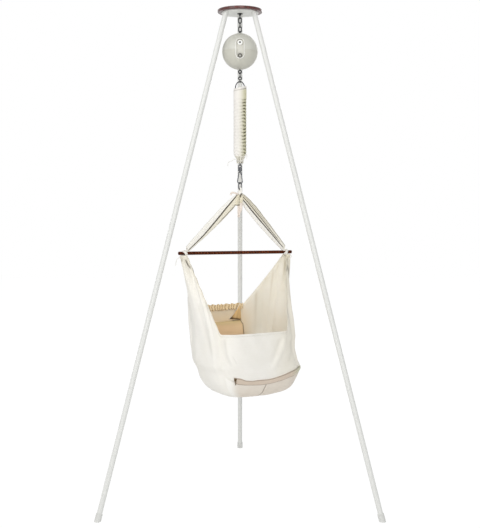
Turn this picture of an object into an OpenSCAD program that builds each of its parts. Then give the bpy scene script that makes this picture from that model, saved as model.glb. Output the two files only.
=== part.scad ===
// Hammock cradle for a baby, hung from a rocking motor and a covered coil spring inside a tripod stand.
// Origin: middle of the footprint on the floor. +Z up. The open side of the cradle faces -Y.

/* [Stand] */
// Height of the stand, floor to top of the wooden disc
stand_h = 2100; // [2040:10:2160]
// Radius of the circle on which the legs' axes meet the floor
foot_circle_r = 668; // [620:1:700]
// Distance of each leg's axis from the middle, at the underside of the steel plate
leg_top_r = 68; // [64:1:68]
// Outer diameter of the leg tubes
leg_d = 22; // [20:1:24]
// Wall of the leg tubes
leg_wall = 1.5; // [1:0.5:2]
// Diameter of the rubber feet
foot_d = 27; // [26:1:30]
// Height of the rubber feet, along the leg
foot_h = 32; // [28:1:40]
// Diameter of the wooden disc
disc_d = 190; // [180:1:200]
// Thickness of the wooden disc
disc_t = 12; // [12:1:16]
// Diameter of the steel plate under the disc
plate_d = 157; // [155:1:165]
// Thickness of the steel plate
plate_t = 3; // [3:1:4]

/* [Chain] */
// Wire of the chain links
link_wire = 4; // [3.5:0.5:4.5]
// Outer width of a chain link
link_w = 16; // [15:1:17]
// Length of a chain link between its wire centres
link_span = 23; // [22:1:24]
// Wire of the eye under the plate
eye_wire = 5; // [4.5:0.5:5.5]
// Centre-line radius of the rings on the eye and the hooks
ring_r = 6.5; // [6.5:0.5:7]

/* [Rocking motor] */
// Diameter of the ball
ball_d = 152; // [150:1:154]
// Wall of the ball's shells
shell_wall = 2.5; // [2:0.5:3]
// Width of the control panel
panel_w = 38; // [36:1:40]
// Height of the control panel
panel_h = 85; // [83:1:86]
// How far the hook travels down
stroke = 36; // [20:1:36]
// Radius of the winch drum's core
drum_r = 14.7; // [14:0.1:15]

/* [Spring] */
// Mean radius of the coil
coil_r = 21; // [19:0.5:22]
// Wire of the coil
coil_wire = 4; // [3.5:0.5:4]
// Length of the coil between the bases of its end cones
coil_len = 282; // [270:1:284]
// Turns of the coil, end cones included
coil_turns = 26; // [20:1:28]
// Outer radius of the cloth sleeve
cover_r = 28; // [27:0.5:29]

/* [Carrying hardware] */
// Wire of the swivel eye and the carabiner
snap_wire = 4.5; // [4:0.5:4.5]
// Centre-line radius of the carabiner's wide end
snap_wide_r = 10.75; // [10.5:0.25:11]
// Centre-line radius of the carabiner's narrow end
snap_narrow_r = 5.5; // [5.5:0.25:6]
// Distance between the centres of the carabiner's two ends
snap_len = 33; // [32:1:35]
// Outer width of the oval link
oval_w = 19; // [18:1:20]
// Length of the oval link between its wire centres
oval_span = 30; // [29:1:31]

/* [Cradle] */
// Length of the wooden spreader bar
bar_len = 548; // [520:1:550]
// Diameter of the spreader bar
bar_d = 14.5; // [13:0.5:16]
// Turn of the bar about the vertical
bar_yaw = 27; // [20:1:28]
// Turn of the cloth cradle about the vertical
body_yaw = 33; // [28:1:34]
// Height of the front rim
front_rim_z = 738; // [730:1:745]
// Height of the rear rim
rear_rim_z = 824; // [815:1:832]
// Half length of the cloth body at its rims
body_a = 221; // [215:1:226]
// Half width of the cloth body at its rims
body_b = 150; // [145:1:152]
// Height of the body's lowest point
body_low_z = 452; // [448:1:456]
// Thickness of the cloth as built
cloth_t = 3; // [2.5:0.5:3.5]

/* [Hidden] */

// Colours, as the photo shows them
WOOD = "#5a2a25";
STEEL_WHITE = "#e2e2de";
LEG_GREY = "#dcdcd8";
RUBBER = "#d2d2ce";
CHROME = "#8a8c90";
BALL = "#d2d1c8";
PANEL = "#dddcd3";
BUTTON = "#f2f2ee";
BLACK = "#1c1c1c";
BOARD = "#2f6b46";
CLOTH = "#f1eee6";
CLOTH_DARK = "#d3c7b8";
CORD = "#f6f3ea";

// Roundness of the exact curves
FN = 48;
WIRE_FN = 20;
// Gap between a hanging piece and what it hangs on
GAP = 0.3;
// Overlap that joins the pieces of one solid
EPS = 0.1;

// ---- Stand, derived ----
// The chain hangs through here: the middle of the three feet, not of the footprint's box
AXIS_Y = -foot_circle_r / 4;
LEG_ANGLES = [210, 330, 90];
plate_z = stand_h - disc_t - plate_t;
leg_lean = atan((foot_circle_r - leg_top_r) / plate_z);
leg_axis_len = plate_z / cos(leg_lean);
leg_bore_r = leg_d / 2 - leg_wall;
screw_r = 4;

// ---- Heights down the suspension, derived: each is the centre of a wire ----
eye_r = 7.5;
eye_z = plate_z - 22;
link1_z = eye_z + (eye_wire + link_wire) / 2 + GAP;
link2_z = link1_z - link_span + link_wire + GAP;
link3_z = link2_z - link_span + link_wire + GAP;
hook_wire = 4.5;
hanger_z = link3_z - link_span + (hook_wire + link_wire) / 2 + GAP - ring_r;
ball_r = ball_d / 2;
ball_z = hanger_z - 2.5 - ball_r;
hook_z = ball_z - ball_r - 0.25 - hook_wire / 2 - ring_r;
link4_z = hook_z - ring_r + (hook_wire + link_wire) / 2 + GAP;
spring_wire = 4;
spring_hook_z = link4_z - link_span + (link_wire + spring_wire) / 2 + GAP - ring_r;
cone_top_z = spring_hook_z - ring_r - 8;
cone_h = 26;
cone_r = 5.2;
coil_top_z = cone_top_z - cone_h;
coil_low_z = coil_top_z - coil_len;
cone_low_z = coil_low_z - cone_h;
low_hook_z = cone_low_z - 16;
swivel_r = 7;
swivel_z = low_hook_z - ring_r + (spring_wire + snap_wire) / 2 + GAP - swivel_r;
swivel_boss_top = swivel_z - swivel_r + snap_wire / 2;
swivel_boss_h = 16.8;
snap_top_z = swivel_boss_top - swivel_boss_h - GAP - snap_wire / 2;
snap_narrow_z = snap_top_z - snap_narrow_r;
snap_wide_z = snap_narrow_z - snap_len;
snap_bottom_z = snap_wide_z - snap_wide_r;
oval_wire = 4;
oval_z = snap_bottom_z + (snap_wire + oval_wire) / 2 + 0.5;
oval_bottom_z = oval_z - oval_span;
// Turns of the carabiner and of the oval link about the vertical
snap_yaw = -15;
oval_yaw = 42;

// ---- Cradle, derived ----
bar_mid = [-14, 0, 1070];
bar_tilt = 1.2;
bar_r = bar_d / 2;
bar_dir = [cos(bar_yaw) * cos(bar_tilt), sin(bar_yaw) * cos(bar_tilt), -sin(bar_tilt)];
tie_in = 30;
tie_left = bar_mid - (bar_len / 2 - tie_in) * bar_dir;
tie_right = bar_mid + (bar_len / 2 - tie_in) * bar_dir;
body_mid = [6, -2];

// ---- Shared shapes ----
// Everything that hangs is drawn about the suspension axis
module at_axis(z = 0) translate([0, AXIS_Y, z]) children();

// Standing ring in the XZ plane, or in the YZ plane when turned
module ring(r, wire, yaw = 0)
  rotate([90, 0, yaw]) rotate_extrude($fn = FN) translate([r, 0]) circle(d = wire, $fn = WIRE_FN);

// Part of a standing ring, from one angle to another, 0 to the right and 90 up
module ring_part(r, wire, from, to)
  rotate([90, 0, 0]) rotate([0, 0, from])
    rotate_extrude(angle = to - from, $fn = FN) translate([r, 0]) circle(d = wire, $fn = WIRE_FN);

// Chain link hanging from its top wire's centre, which is at the origin
module chain_link(span, width, wire, yaw) {
  r = (width - wire) / 2;
  rotate([0, 0, yaw]) {
    translate([0, 0, -r]) ring_part(r, wire, 0, 180);
    translate([0, 0, r - span]) ring_part(r, wire, 180, 360);
    for (x = [-r, r]) translate([x, 0, r - span]) cylinder(d = wire, h = span - 2 * r, $fn = WIRE_FN);
  }
}

// Straight round bar between two points
module rod(a, b, r, fn = WIRE_FN) {
  d = b - a;
  translate(a) rotate([0, acos(d[2] / norm(d)), atan2(d[1], d[0])]) cylinder(r = r, h = norm(d), $fn = fn);
}

function unit(v) = v / norm(v);
function mid(a, b, t) = a * (1 - t) + b * t;
function flat(list) = [for (part = list) each part];
function mean(list) = [for (k = [0:2]) let (s = [for (p = list) p[k]]) sum(s) / len(s)];
function sum(list, i = 0) = i < len(list) ? list[i] + sum(list, i + 1) : 0;
// Smooth step from 0 to 1
function ease(t) = let (c = max(0, min(1, t))) c * c * (3 - 2 * c);

// Two triangles for each cell between neighbouring rings of n points; flip turns them over
function wall(n, rows, start, flip) = [
  for (j = [0:rows - 2]) for (i = [0:n - 1])
    let (a = start + j * n + i, b = start + j * n + (i + 1) % n, c = a + n, d = b + n)
      each flip ? [[a, d, b], [a, c, d]] : [[a, b, d], [a, d, c]]];

// A fan that closes a ring of n points to one middle point
function lid(n, start, hub, flip) = [
  for (i = [0:n - 1]) let (a = start + i, b = start + (i + 1) % n) flip ? [hub, a, b] : [hub, b, a]];

// Closed solid through a stack of rings with the same number of points
module loft(rings) {
  n = len(rings[0]);
  m = len(rings);
  polyhedron(
    concat(flat(rings), [mean(rings[0]), mean(rings[m - 1])]),
    concat(wall(n, m, 0, false), lid(n, 0, m * n, false), lid(n, (m - 1) * n, m * n + 1, true)));
}

// Round or folded cross-section at p, spread along side and up
function section(p, side, up, w, t, folds, depth, n = 20) = [
  for (i = [0:n - 1]) let (a = 360 * i / n, r = 1 - depth * (0.5 + 0.5 * cos(folds * a)))
    p + side * w * cos(a) + up * t * sin(a) * r];

// Tube of round section along points chosen by hand
function tangent(path, i) = unit(path[min(i + 1, len(path) - 1)] - path[max(i - 1, 0)]);
function across(t) = unit(cross(t, abs(t[1]) < 0.9 ? [0, 1, 0] : [1, 0, 0]));
module tube(path, d, sides = 8)
  loft([for (i = [0:len(path) - 1])
    let (t = tangent(path, i), s = across(t), u = cross(t, s))
      [for (k = [0:sides - 1]) path[i] + (s * sin(360 * k / sides) + u * cos(360 * k / sides)) * d / 2]]);

// ---- Stand ----
// The frame of one leg: its axis is +Z, from the floor up
module along_leg(angle)
  at_axis() rotate([0, 0, angle]) translate([foot_circle_r, 0, 0]) rotate([0, -leg_lean, 0]) children();

module below_plate()
  at_axis() translate([-foot_circle_r * 1.2, -foot_circle_r * 1.2, -50])
    cube([foot_circle_r * 2.4, foot_circle_r * 2.4, plate_z + 50]);

module leg(angle)
  color(LEG_GREY) intersection() {
    along_leg(angle) difference() {
      translate([0, 0, 8]) cylinder(d = leg_d, h = leg_axis_len + 20, $fn = FN);
      cylinder(r = leg_bore_r, h = leg_axis_len + 40, $fn = FN);
    }
    below_plate();
  }

module leg_left() leg(LEG_ANGLES[0]);
module leg_right() leg(LEG_ANGLES[1]);
module leg_rear() leg(LEG_ANGLES[2]);

module foot(angle)
  color(RUBBER) difference() {
    along_leg(angle) difference() {
      union() {
        cylinder(d = foot_d, h = foot_h - 3, $fn = FN);
        translate([0, 0, -foot_d / 2]) cylinder(d = foot_d, h = foot_d / 2, $fn = FN);
        translate([0, 0, foot_h - 3])
          rotate_extrude($fn = FN) {
            square([foot_d / 2 - 2, 3]);
            square([foot_d / 2, 1]);
            translate([foot_d / 2 - 2, 1]) circle(r = 2, $fn = WIRE_FN);
          }
      }
      translate([0, 0, 8]) cylinder(d = leg_d, h = foot_h, $fn = FN);
    }
    at_axis() translate([-foot_circle_r * 1.2, -foot_circle_r * 1.2, -60])
      cube([foot_circle_r * 2.4, foot_circle_r * 2.4, 60]);
  }

module foot_left() foot(LEG_ANGLES[0]);
module foot_right() foot(LEG_ANGLES[1]);
module foot_rear() foot(LEG_ANGLES[2]);

plug_h = 45;
screw_head_r = 7;
module leg_plugs()
  color(CHROME) for (angle = LEG_ANGLES) intersection() {
    along_leg(angle) difference() {
      translate([0, 0, leg_axis_len - plug_h]) cylinder(r = leg_bore_r, h = plug_h + 10, $fn = FN);
      translate([0, 0, leg_axis_len - plug_h + 6]) cylinder(r = screw_r, h = plug_h + 10, $fn = FN);
    }
    below_plate();
  }

// Head seat of a leg screw, counted along the leg from the plate's underside
seat = disc_t / cos(leg_lean) - 4;
module leg_screws()
  color(CHROME) for (angle = LEG_ANGLES) along_leg(angle) {
    translate([0, 0, leg_axis_len - plug_h + 10])
      cylinder(r = screw_r, h = plug_h - 10 + seat + EPS, $fn = FN);
    difference() {
      translate([0, 0, leg_axis_len + seat]) cylinder(r = screw_head_r, h = 3.5, $fn = FN);
      translate([0, 0, leg_axis_len + seat + 1.5]) cylinder(r = 2.9, h = 5, $fn = 6);
    }
  }

module screw_holes()
  for (angle = LEG_ANGLES) along_leg(angle) {
    translate([0, 0, leg_axis_len - 30]) cylinder(r = screw_r + 0.2, h = 80, $fn = FN);
    translate([0, 0, leg_axis_len + seat]) cylinder(r = screw_head_r + 0.5, h = 30, $fn = FN);
  }

module top_disc() {
  round_r = 3;
  color(WOOD) difference() {
    at_axis(plate_z + plate_t) rotate_extrude($fn = 96) {
      square([disc_d / 2 - round_r, disc_t]);
      translate([0, round_r]) square([disc_d / 2, disc_t - 2 * round_r]);
      for (z = [round_r, disc_t - round_r])
        translate([disc_d / 2 - round_r, z]) circle(r = round_r, $fn = 24);
    }
    screw_holes();
    at_axis(plate_z - 5) cylinder(r = 4.2, h = 60, $fn = FN);
    at_axis(stand_h - 8) cylinder(r = 11, h = 20, $fn = FN);
  }
}

module top_plate()
  color(STEEL_WHITE) difference() {
    at_axis(plate_z) cylinder(d = plate_d, h = plate_t, $fn = 96);
    for (angle = LEG_ANGLES) along_leg(angle)
      translate([0, 0, leg_axis_len - 30]) cylinder(r = screw_r + 0.2, h = 80, $fn = FN);
    at_axis(plate_z - 5) cylinder(r = 4.2, h = 60, $fn = FN);
  }

module eye_bolt()
  color(CHROME) at_axis() {
    translate([0, 0, eye_z + eye_r]) ring(eye_r, eye_wire, 90);
    translate([0, 0, eye_z + 2 * eye_r - 1])
      cylinder(r = 4, h = stand_h - 2.5 - eye_z - 2 * eye_r + 1, $fn = FN);
    translate([0, 0, plate_z - 3]) cylinder(r = 11, h = 3, $fn = FN);
  }

module eye_nut()
  color(CHROME) at_axis(stand_h - 8) difference() {
    union() {
      cylinder(r = 10, h = 1.2, $fn = FN);
      translate([0, 0, 1.2]) cylinder(r = 7.5, h = 5.3, $fn = 6);
    }
    translate([0, 0, -1]) cylinder(r = 4, h = 20, $fn = FN);
  }

// ---- Upper chain ----
module chain_link_1() color(CHROME) at_axis(link1_z) chain_link(link_span, link_w, link_wire, 0);
module chain_link_2() color(CHROME) at_axis(link2_z) chain_link(link_span, link_w, link_wire, 90);
module chain_link_3() color(CHROME) at_axis(link3_z) chain_link(link_span, link_w, link_wire, 0);

// ---- Rocking motor ----
panel_z = ball_z + 3.5;
boss_at = [46, 26];
button_tilt = 20.8;
dial_tilt = -20.6;
inlet_tilt = -21.6;
// Turned from straight back, so that the plug passes beside the rear leg
inlet_yaw = -35;
button_r = 10.5;
dial_r = 9;
inner_r = ball_r - shell_wall;
panel_floor = ball_r - 4;

// Frame of a control on the ball's front: +Z points outwards
module on_front(tilt) at_axis(ball_z) rotate([90 - tilt, 0, 0]) children();
// Frame of the socket on the ball's back: +Z points outwards
module on_back(tilt) at_axis(ball_z) rotate([0, 0, inlet_yaw]) rotate([tilt - 90, 0, 0]) children();

// Upright pill, as a prism through the ball's front
module pill(w, h)
  at_axis(panel_z) rotate([90, 0, 0]) {
    translate([0, 0, 40]) linear_extrude(60) {
      square([w, h - w], center = true);
      for (z = [-1, 1]) translate([0, z * (h - w) / 2]) circle(d = w, $fn = FN);
    }
  }

module half_space(up)
  at_axis(ball_z) translate([-100, -100, up ? 0 : -100]) cube([200, 200, 100]);

module shell_half(up)
  difference() {
    intersection() {
      union() {
        difference() {
          at_axis(ball_z) sphere(r = ball_r, $fn = 96);
          at_axis(ball_z) sphere(r = inner_r, $fn = 96);
        }
        intersection() {
          at_axis(ball_z) sphere(r = ball_r - 1, $fn = 96);
          for (x = [-1, 1]) at_axis(ball_z - 80)
            translate([x * boss_at[0], boss_at[1], 0]) cylinder(r = 4.5, h = 160, $fn = FN);
        }
      }
      half_space(up);
    }
    pill(panel_w, panel_h);
    for (x = [-1, 1]) at_axis(ball_z) translate([x * boss_at[0], boss_at[1], 0]) {
      if (up) translate([0, 0, -1]) cylinder(r = 1.6, h = 15, $fn = 24);
      else {
        translate([0, 0, -80]) cylinder(r = 3.6, h = 50, $fn = 24);
        translate([0, 0, -35]) cylinder(r = 1.8, h = 36, $fn = 24);
      }
    }
  }

module shell_upper()
  color(BALL) difference() {
    shell_half(true);
    at_axis(ball_z + 60) cylinder(r = 12, h = 40, $fn = FN);
    // Chamfer that makes the seam show
    at_axis(ball_z - EPS) difference() {
      cylinder(r = ball_r + 5, h = 0.5 + EPS, $fn = 96);
      translate([0, 0, -1]) cylinder(r = ball_r - 0.8, h = 3, $fn = 96);
    }
  }

module shell_lower()
  color(BALL) difference() {
    shell_half(false);
    at_axis(ball_z - 100) cylinder(r = 8, h = 40, $fn = FN);
    on_back(inlet_tilt) translate([0, 0, 40]) cylinder(r = 5.6, h = 60, $fn = FN);
  }

module shell_screws()
  color(CHROME) for (x = [-1, 1]) at_axis(ball_z) translate([x * boss_at[0], boss_at[1], 0]) {
    translate([0, 0, -32.4]) cylinder(r = 3.1, h = 2.4, $fn = 24);
    translate([0, 0, -30.1]) cylinder(r = 1.6, h = 42, $fn = 24);
  }

module control_panel()
  color(PANEL) difference() {
    intersection() {
      pill(panel_w - 0.4, panel_h - 0.4);
      difference() {
        at_axis(ball_z) sphere(r = ball_r + 1.2, $fn = 96);
        at_axis(ball_z) sphere(r = panel_floor - 2.5, $fn = 96);
      }
    }
    intersection() {
      pill(panel_w - 6, panel_h - 6);
      difference() {
        at_axis(ball_z) sphere(r = ball_r + 5, $fn = 96);
        at_axis(ball_z) sphere(r = panel_floor, $fn = 96);
      }
    }
    on_front(button_tilt) translate([0, 0, 50]) cylinder(r = button_r + 0.4, h = 50, $fn = FN);
    on_front(dial_tilt) translate([0, 0, 50]) cylinder(r = 3.1, h = 50, $fn = FN);
  }

button_face = ball_r + 1;
module power_button()
  color(BUTTON) on_front(button_tilt) difference() {
    union() {
      translate([0, 0, button_face - 8]) rotate_extrude($fn = FN) {
        square([button_r, 7]);
        square([button_r - 1, 8]);
        translate([button_r - 1, 7]) circle(r = 1, $fn = 16);
      }
      translate([0, 0, 59]) cylinder(r = 2, h = button_face - 8 - 59 + EPS, $fn = 24);
    }
    translate([0, 0, button_face - 1.5]) cylinder(r = 2.5, h = 5, $fn = 24);
  }

module power_lens()
  color(BLACK) on_front(button_tilt) translate([0, 0, button_face - 1.5])
    cylinder(r = 2.5, h = 1.7, $fn = 24);

module speed_dial()
  color(PANEL) on_front(dial_tilt) {
    translate([0, 0, panel_floor + 0.8]) rotate_extrude($fn = FN) {
      square([dial_r, 4]);
      square([dial_r - 1, 5]);
      translate([dial_r - 1, 4]) circle(r = 1, $fn = 16);
    }
    translate([0, 0, panel_floor + 5.7]) translate([-1, -dial_r + 2, 0]) cube([2, dial_r - 3, 1]);
    translate([0, 0, 58]) cylinder(r = 3.05, h = panel_floor + 1 - 58, $fn = 24);
  }

chassis_top = ball_z + 50;
chassis_low = ball_z - 56;
sheet_t = 3;
web_y = 14;
nut_h = 7;
module hanger_eye()
  color(CHROME) at_axis() {
    translate([0, 0, hanger_z]) ring(ring_r, hook_wire, 90);
    translate([0, 0, ball_z + ball_r - 4.5]) cylinder(r = 11.8, h = 3, $fn = FN);
    translate([0, 0, chassis_top - nut_h])
      cylinder(r = 4, h = ball_z + ball_r - 4 - chassis_top + nut_h, $fn = FN);
  }

module hanger_nut()
  color(CHROME) at_axis(chassis_top - nut_h) difference() {
    cylinder(r = 7.5, h = nut_h, $fn = 6);
    translate([0, 0, -1]) cylinder(r = 4, h = 20, $fn = FN);
  }

drum_at = [-(drum_r + 0.9), 0, ball_z + 2];
module chassis()
  color(CHROME) at_axis() difference() {
    union() {
      translate([-30, -18, chassis_top]) cube([60, 35, sheet_t]);
      translate([-30, web_y, chassis_low]) cube([60, sheet_t, chassis_top - chassis_low + sheet_t]);
      translate([-26, -18, chassis_low]) cube([52, 35, sheet_t]);
    }
    translate([0, 0, chassis_top - 5]) cylinder(r = 4.1, h = 20, $fn = FN);
    translate([0, 0, chassis_low - 5]) cylinder(r = 8, h = 20, $fn = FN);
    translate(drum_at) rotate([-90, 0, 0]) cylinder(r = 5, h = 40, $fn = FN);
  }

module gearbox()
  color(CHROME) at_axis() translate(drum_at) difference() {
    translate([-17, web_y + sheet_t, -17]) cube([34, 22, 36]);
    rotate([-90, 0, 0]) cylinder(r = 3.08, h = web_y + sheet_t + 12, $fn = FN);
  }

module drive_motor()
  color(CHROME) at_axis() translate(drum_at + [0, web_y + sheet_t + 12, -17 - 40]) {
    cylinder(r = 12, h = 36, $fn = FN);
    translate([0, 0, 35]) cylinder(r = 8, h = 5, $fn = FN);
    translate([0, 0, -3]) cylinder(r = 4, h = 4, $fn = FN);
  }

module winch_drum()
  color(BUTTON) at_axis() translate(drum_at) rotate([-90, 0, 0]) difference() {
    union() {
      translate([0, 0, -5]) cylinder(r = drum_r, h = 10, $fn = FN);
      for (y = [-6.5, 5]) translate([0, 0, y]) cylinder(r = drum_r + 3.5, h = 1.5, $fn = FN);
      cylinder(r = 3, h = web_y + sheet_t + 11, $fn = FN);
    }
    for (a = [0:60:300]) rotate([0, 0, a + 30]) translate([9, 0, -10]) cylinder(r = 2.6, h = 20, $fn = 24);
  }

hook_stem_top = ball_z - 22;
belt_t = 1.2;
belt_w = 8;
// Depth to which the belt is held in the hook's stem
belt_in = 8;
module belt(length, gap = 0) translate([-belt_t / 2 - gap, -belt_w / 2 - gap, hook_stem_top - belt_in])
  cube([belt_t + 2 * gap, belt_w + 2 * gap, length]);
module pull_belt()
  color(BLACK) at_axis() belt(drum_at[2] + stroke + 1 - hook_stem_top + belt_in);

module hook_guide()
  color(BUTTON) at_axis() difference() {
    union() {
      translate([0, 0, ball_z - ball_r + 0.5])
        cylinder(r = 7.9, h = chassis_low - ball_z + ball_r - 0.5 + sheet_t, $fn = FN);
      translate([0, 0, chassis_low + sheet_t]) cylinder(r = 10, h = 2, $fn = FN);
    }
    translate([0, 0, ball_z - ball_r - 5]) cylinder(r = 3.08, h = 60, $fn = FN);
    // The belt follows the stem down this slot
    translate([0, 0, -stroke - 2]) belt(stroke + 60, 0.5);
  }

module pull_hook()
  color(CHROME) at_axis() difference() {
    union() {
      translate([0, 0, hook_z]) ring(ring_r, hook_wire, 0);
      translate([0, 0, hook_z + ring_r - 1])
        cylinder(r = 3, h = hook_stem_top - hook_z - ring_r + 1, $fn = FN);
    }
    belt(20);
  }

module circuit_board()
  color(BOARD) at_axis(ball_z) difference() {
    union() {
      translate([-19, -48, -30]) cube([38, 1.6, 60]);
      // Switch behind the power button
      on_board() translate([0, 0, -6]) cylinder(r = 3.5, h = 7.6, $fn = 24);
      translate([6, -47, -26]) cube([9, 6, 14]);
    }
    // Clearance for the dial's spindle
    rotate([90 - dial_tilt, 0, 0]) translate([0, 0, 30]) cylinder(r = 3.6, h = 40, $fn = 24);
  }
module on_board() rotate([90 - button_tilt, 0, 0]) translate([0, 0, 56]) children();

module dc_inlet()
  color(BLACK) on_back(inlet_tilt) difference() {
    translate([0, 0, ball_r - 14]) cylinder(r = 5.5, h = 14.4, $fn = FN);
    translate([0, 0, ball_r - 10]) cylinder(r = 2.75, h = 20, $fn = FN);
  }

// ---- Spring ----
module chain_link_4() color(CHROME) at_axis(link4_z) chain_link(link_span, link_w, link_wire, 90);

// Ring, stem and the head that the coil's cone holds; side is 1 with the ring on top
module spring_hook(z, yaw, side)
  at_axis(z) rotate([side > 0 ? 0 : 180, 0, 0]) {
    ring(ring_r, spring_wire, yaw);
    translate([0, 0, -ring_r - 22]) cylinder(r = 2.5, h = 22.5, $fn = 24);
    translate([0, 0, -ring_r - 23]) cylinder(r = 6.5, h = 4, $fn = 32);
  }
module spring_top_hook() color(CHROME) spring_hook(spring_hook_z, 0, 1);
module spring_bottom_hook() color(CHROME) spring_hook(low_hook_z, 90, -1);

// Coil radius and height at turn t, counted from the top
cone_turns = 2;
function coil_radius(t) =
  let (end = min(t, coil_turns - t)) cone_r + (coil_r - cone_r) * ease(end / cone_turns);
function coil_z(t) =
  t < cone_turns ? cone_top_z - cone_h * t / cone_turns
  : t > coil_turns - cone_turns ? coil_low_z - cone_h * (t - coil_turns + cone_turns) / cone_turns
  : coil_top_z - coil_len * (t - cone_turns) / (coil_turns - 2 * cone_turns);
coil_steps = 8;
function coil_point(k) = let (t = k / coil_steps, r = coil_radius(t))
  [r * cos(360 * t), r * sin(360 * t), coil_z(t)];
coil_pitch = coil_len / (coil_turns - 2 * cone_turns);
echo(str("least gap between turns of the coil: ", min(coil_pitch, cone_h / cone_turns) - coil_wire, " mm"));

module spring()
  color(CHROME) at_axis() loft([for (k = [0:coil_turns * coil_steps])
    let (p = coil_point(k), a = 360 * k / coil_steps, out = [cos(a), sin(a), 0], up = [0, 0, 1])
      [for (i = [0:4]) p + (out * cos(72 * i) + up * sin(72 * i)) * coil_wire / 2]]);

// Sleeve: smooth at the top, ruched below, drawn in to a tail at the foot
cover_top_z = coil_top_z - 7;
cover_low_z = coil_low_z - 6;
ruches = 15;
cover_rows = 2 * ruches;
cover_n = 16;
tail_r = 13;
tail_low_z = low_hook_z + 6;
function cover_out(s, a) =
  let (ruche = ease((s - 0.22) / 0.1), k = (a + 50) * 2 + 900 * s)
    cover_r - 1.4 * ruche * (0.5 + 0.5 * cos(360 * ruches * s + 40 * sin(k)))
      - (1 - ease((s + 0.02) / 0.05)) * 1.5;
// The hem at the top slants: it stands highest to the right
function hem(a) = 8 * cos(a - 20);
function cover_ring(s, a) = let (r = cover_out(s, a))
  [r * cos(a), r * sin(a), mid(cover_top_z, cover_low_z, s) + hem(a) * (1 - ease(s * 5))];
module spring_cover() {
  outer = concat(
    [for (j = [0:cover_rows]) [for (i = [0:cover_n - 1]) cover_ring(j / cover_rows, 360 * i / cover_n)]],
    [for (row = [[14, tail_r + 5], [22, tail_r + 1], [cover_low_z - tail_low_z, tail_r - 1]])
      [for (i = [0:cover_n - 1]) let (a = 360 * i / cover_n, r = row[1] * (1 + 0.1 * cos(4 * a)))
        [r * cos(a), r * sin(a), cover_low_z - row[0]]]]);
  inner = [for (row = [[tail_low_z, tail_r - 3.5], [cover_low_z - 22, tail_r - 2.5],
      [cover_low_z - 12, tail_r + 4], [cover_low_z + 4, coil_r + 3.2], [cover_top_z - 6, coil_r + 3.2]])
    [for (i = [0:cover_n - 1]) let (a = 360 * i / cover_n)
      [row[1] * cos(a), row[1] * sin(a), row[0] + (row[0] > cover_low_z + 10 ? hem(a) : 0)]]];
  rings = concat(outer, inner);
  m = len(rings);
  color(CLOTH) at_axis() polyhedron(flat(rings), concat(wall(cover_n, m, 0, false),
    [for (i = [0:cover_n - 1]) let (a = (m - 1) * cover_n + i, b = (m - 1) * cover_n + (i + 1) % cover_n,
      c = i, d = (i + 1) % cover_n) each [[a, b, d], [a, d, c]]]));
}

// Loose ends of the drawcord that gathers the sleeve's foot, in millimetres along the cord
cover_cord_d = 2.5;
cover_left_path = [[-2, -17, 1463], [-8, -18, 1467], [-15, -18, 1469], [-22, -15, 1471], [-28, -12, 1471],
  [-33, -10, 1467], [-38, -9, 1463], [-43, -9, 1462], [-48, -9, 1460], [-51, -8, 1455], [-52, -8, 1449],
  [-52, -8, 1443]];
cover_right_path = [[2, -17, 1463], [8, -19, 1466], [15, -21, 1470], [20, -25, 1476], [21, -29, 1483],
  [22, -30, 1490], [25, -28, 1494], [28, -25, 1491], [29, -24, 1485], [29, -23, 1479], [28, -22, 1474]];
module cover_cord_left() color(CORD) at_axis() tube(cover_left_path, cover_cord_d);
module cover_cord_right() color(CORD) at_axis() tube(cover_right_path, cover_cord_d);

// ---- Carrying hardware ----
stem_r = 2.95;
module swivel_eye()
  color(CHROME) at_axis() difference() {
    union() {
      translate([0, 0, swivel_z]) ring(swivel_r, snap_wire, 0);
      translate([0, 0, swivel_boss_top - swivel_boss_h]) rotate_extrude($fn = FN) {
        square([6.5, swivel_boss_h]);
        translate([0, 2]) square([8.5, swivel_boss_h - 5]);
        for (z = [2, swivel_boss_h - 3]) translate([6.5, z]) circle(r = 2, $fn = 24);
      }
    }
    translate([0, 0, swivel_boss_top - swivel_boss_h - 5])
      cylinder(r = stem_r + 0.06, h = swivel_boss_h + 10, $fn = FN);
    translate([0, 0, swivel_boss_top]) cylinder(r = 4.7, h = 3.5, $fn = FN);
  }

// The carabiner's straight wires are this much thinner, and reach this far into its bent ends
wire_step = 0.15;
wire_lap = 0.5;
// Straight flanks of the pear shape touch both ends at this angle
flank = asin((snap_wide_r - snap_narrow_r) / snap_len);
narrow_at = [snap_narrow_r * cos(flank), 0, snap_narrow_z + snap_narrow_r * sin(flank)];
wide_at = [snap_wide_r * cos(flank), 0, snap_wide_z + snap_wide_r * sin(flank)];
flank_dir = unit(wide_at - narrow_at);
gate_pivot = narrow_at + 3 * flank_dir;
straight_r = snap_wire / 2 - wire_step;
fork_r = 3.9;
function mirrored(p) = [-p[0], p[1], p[2]];

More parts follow.
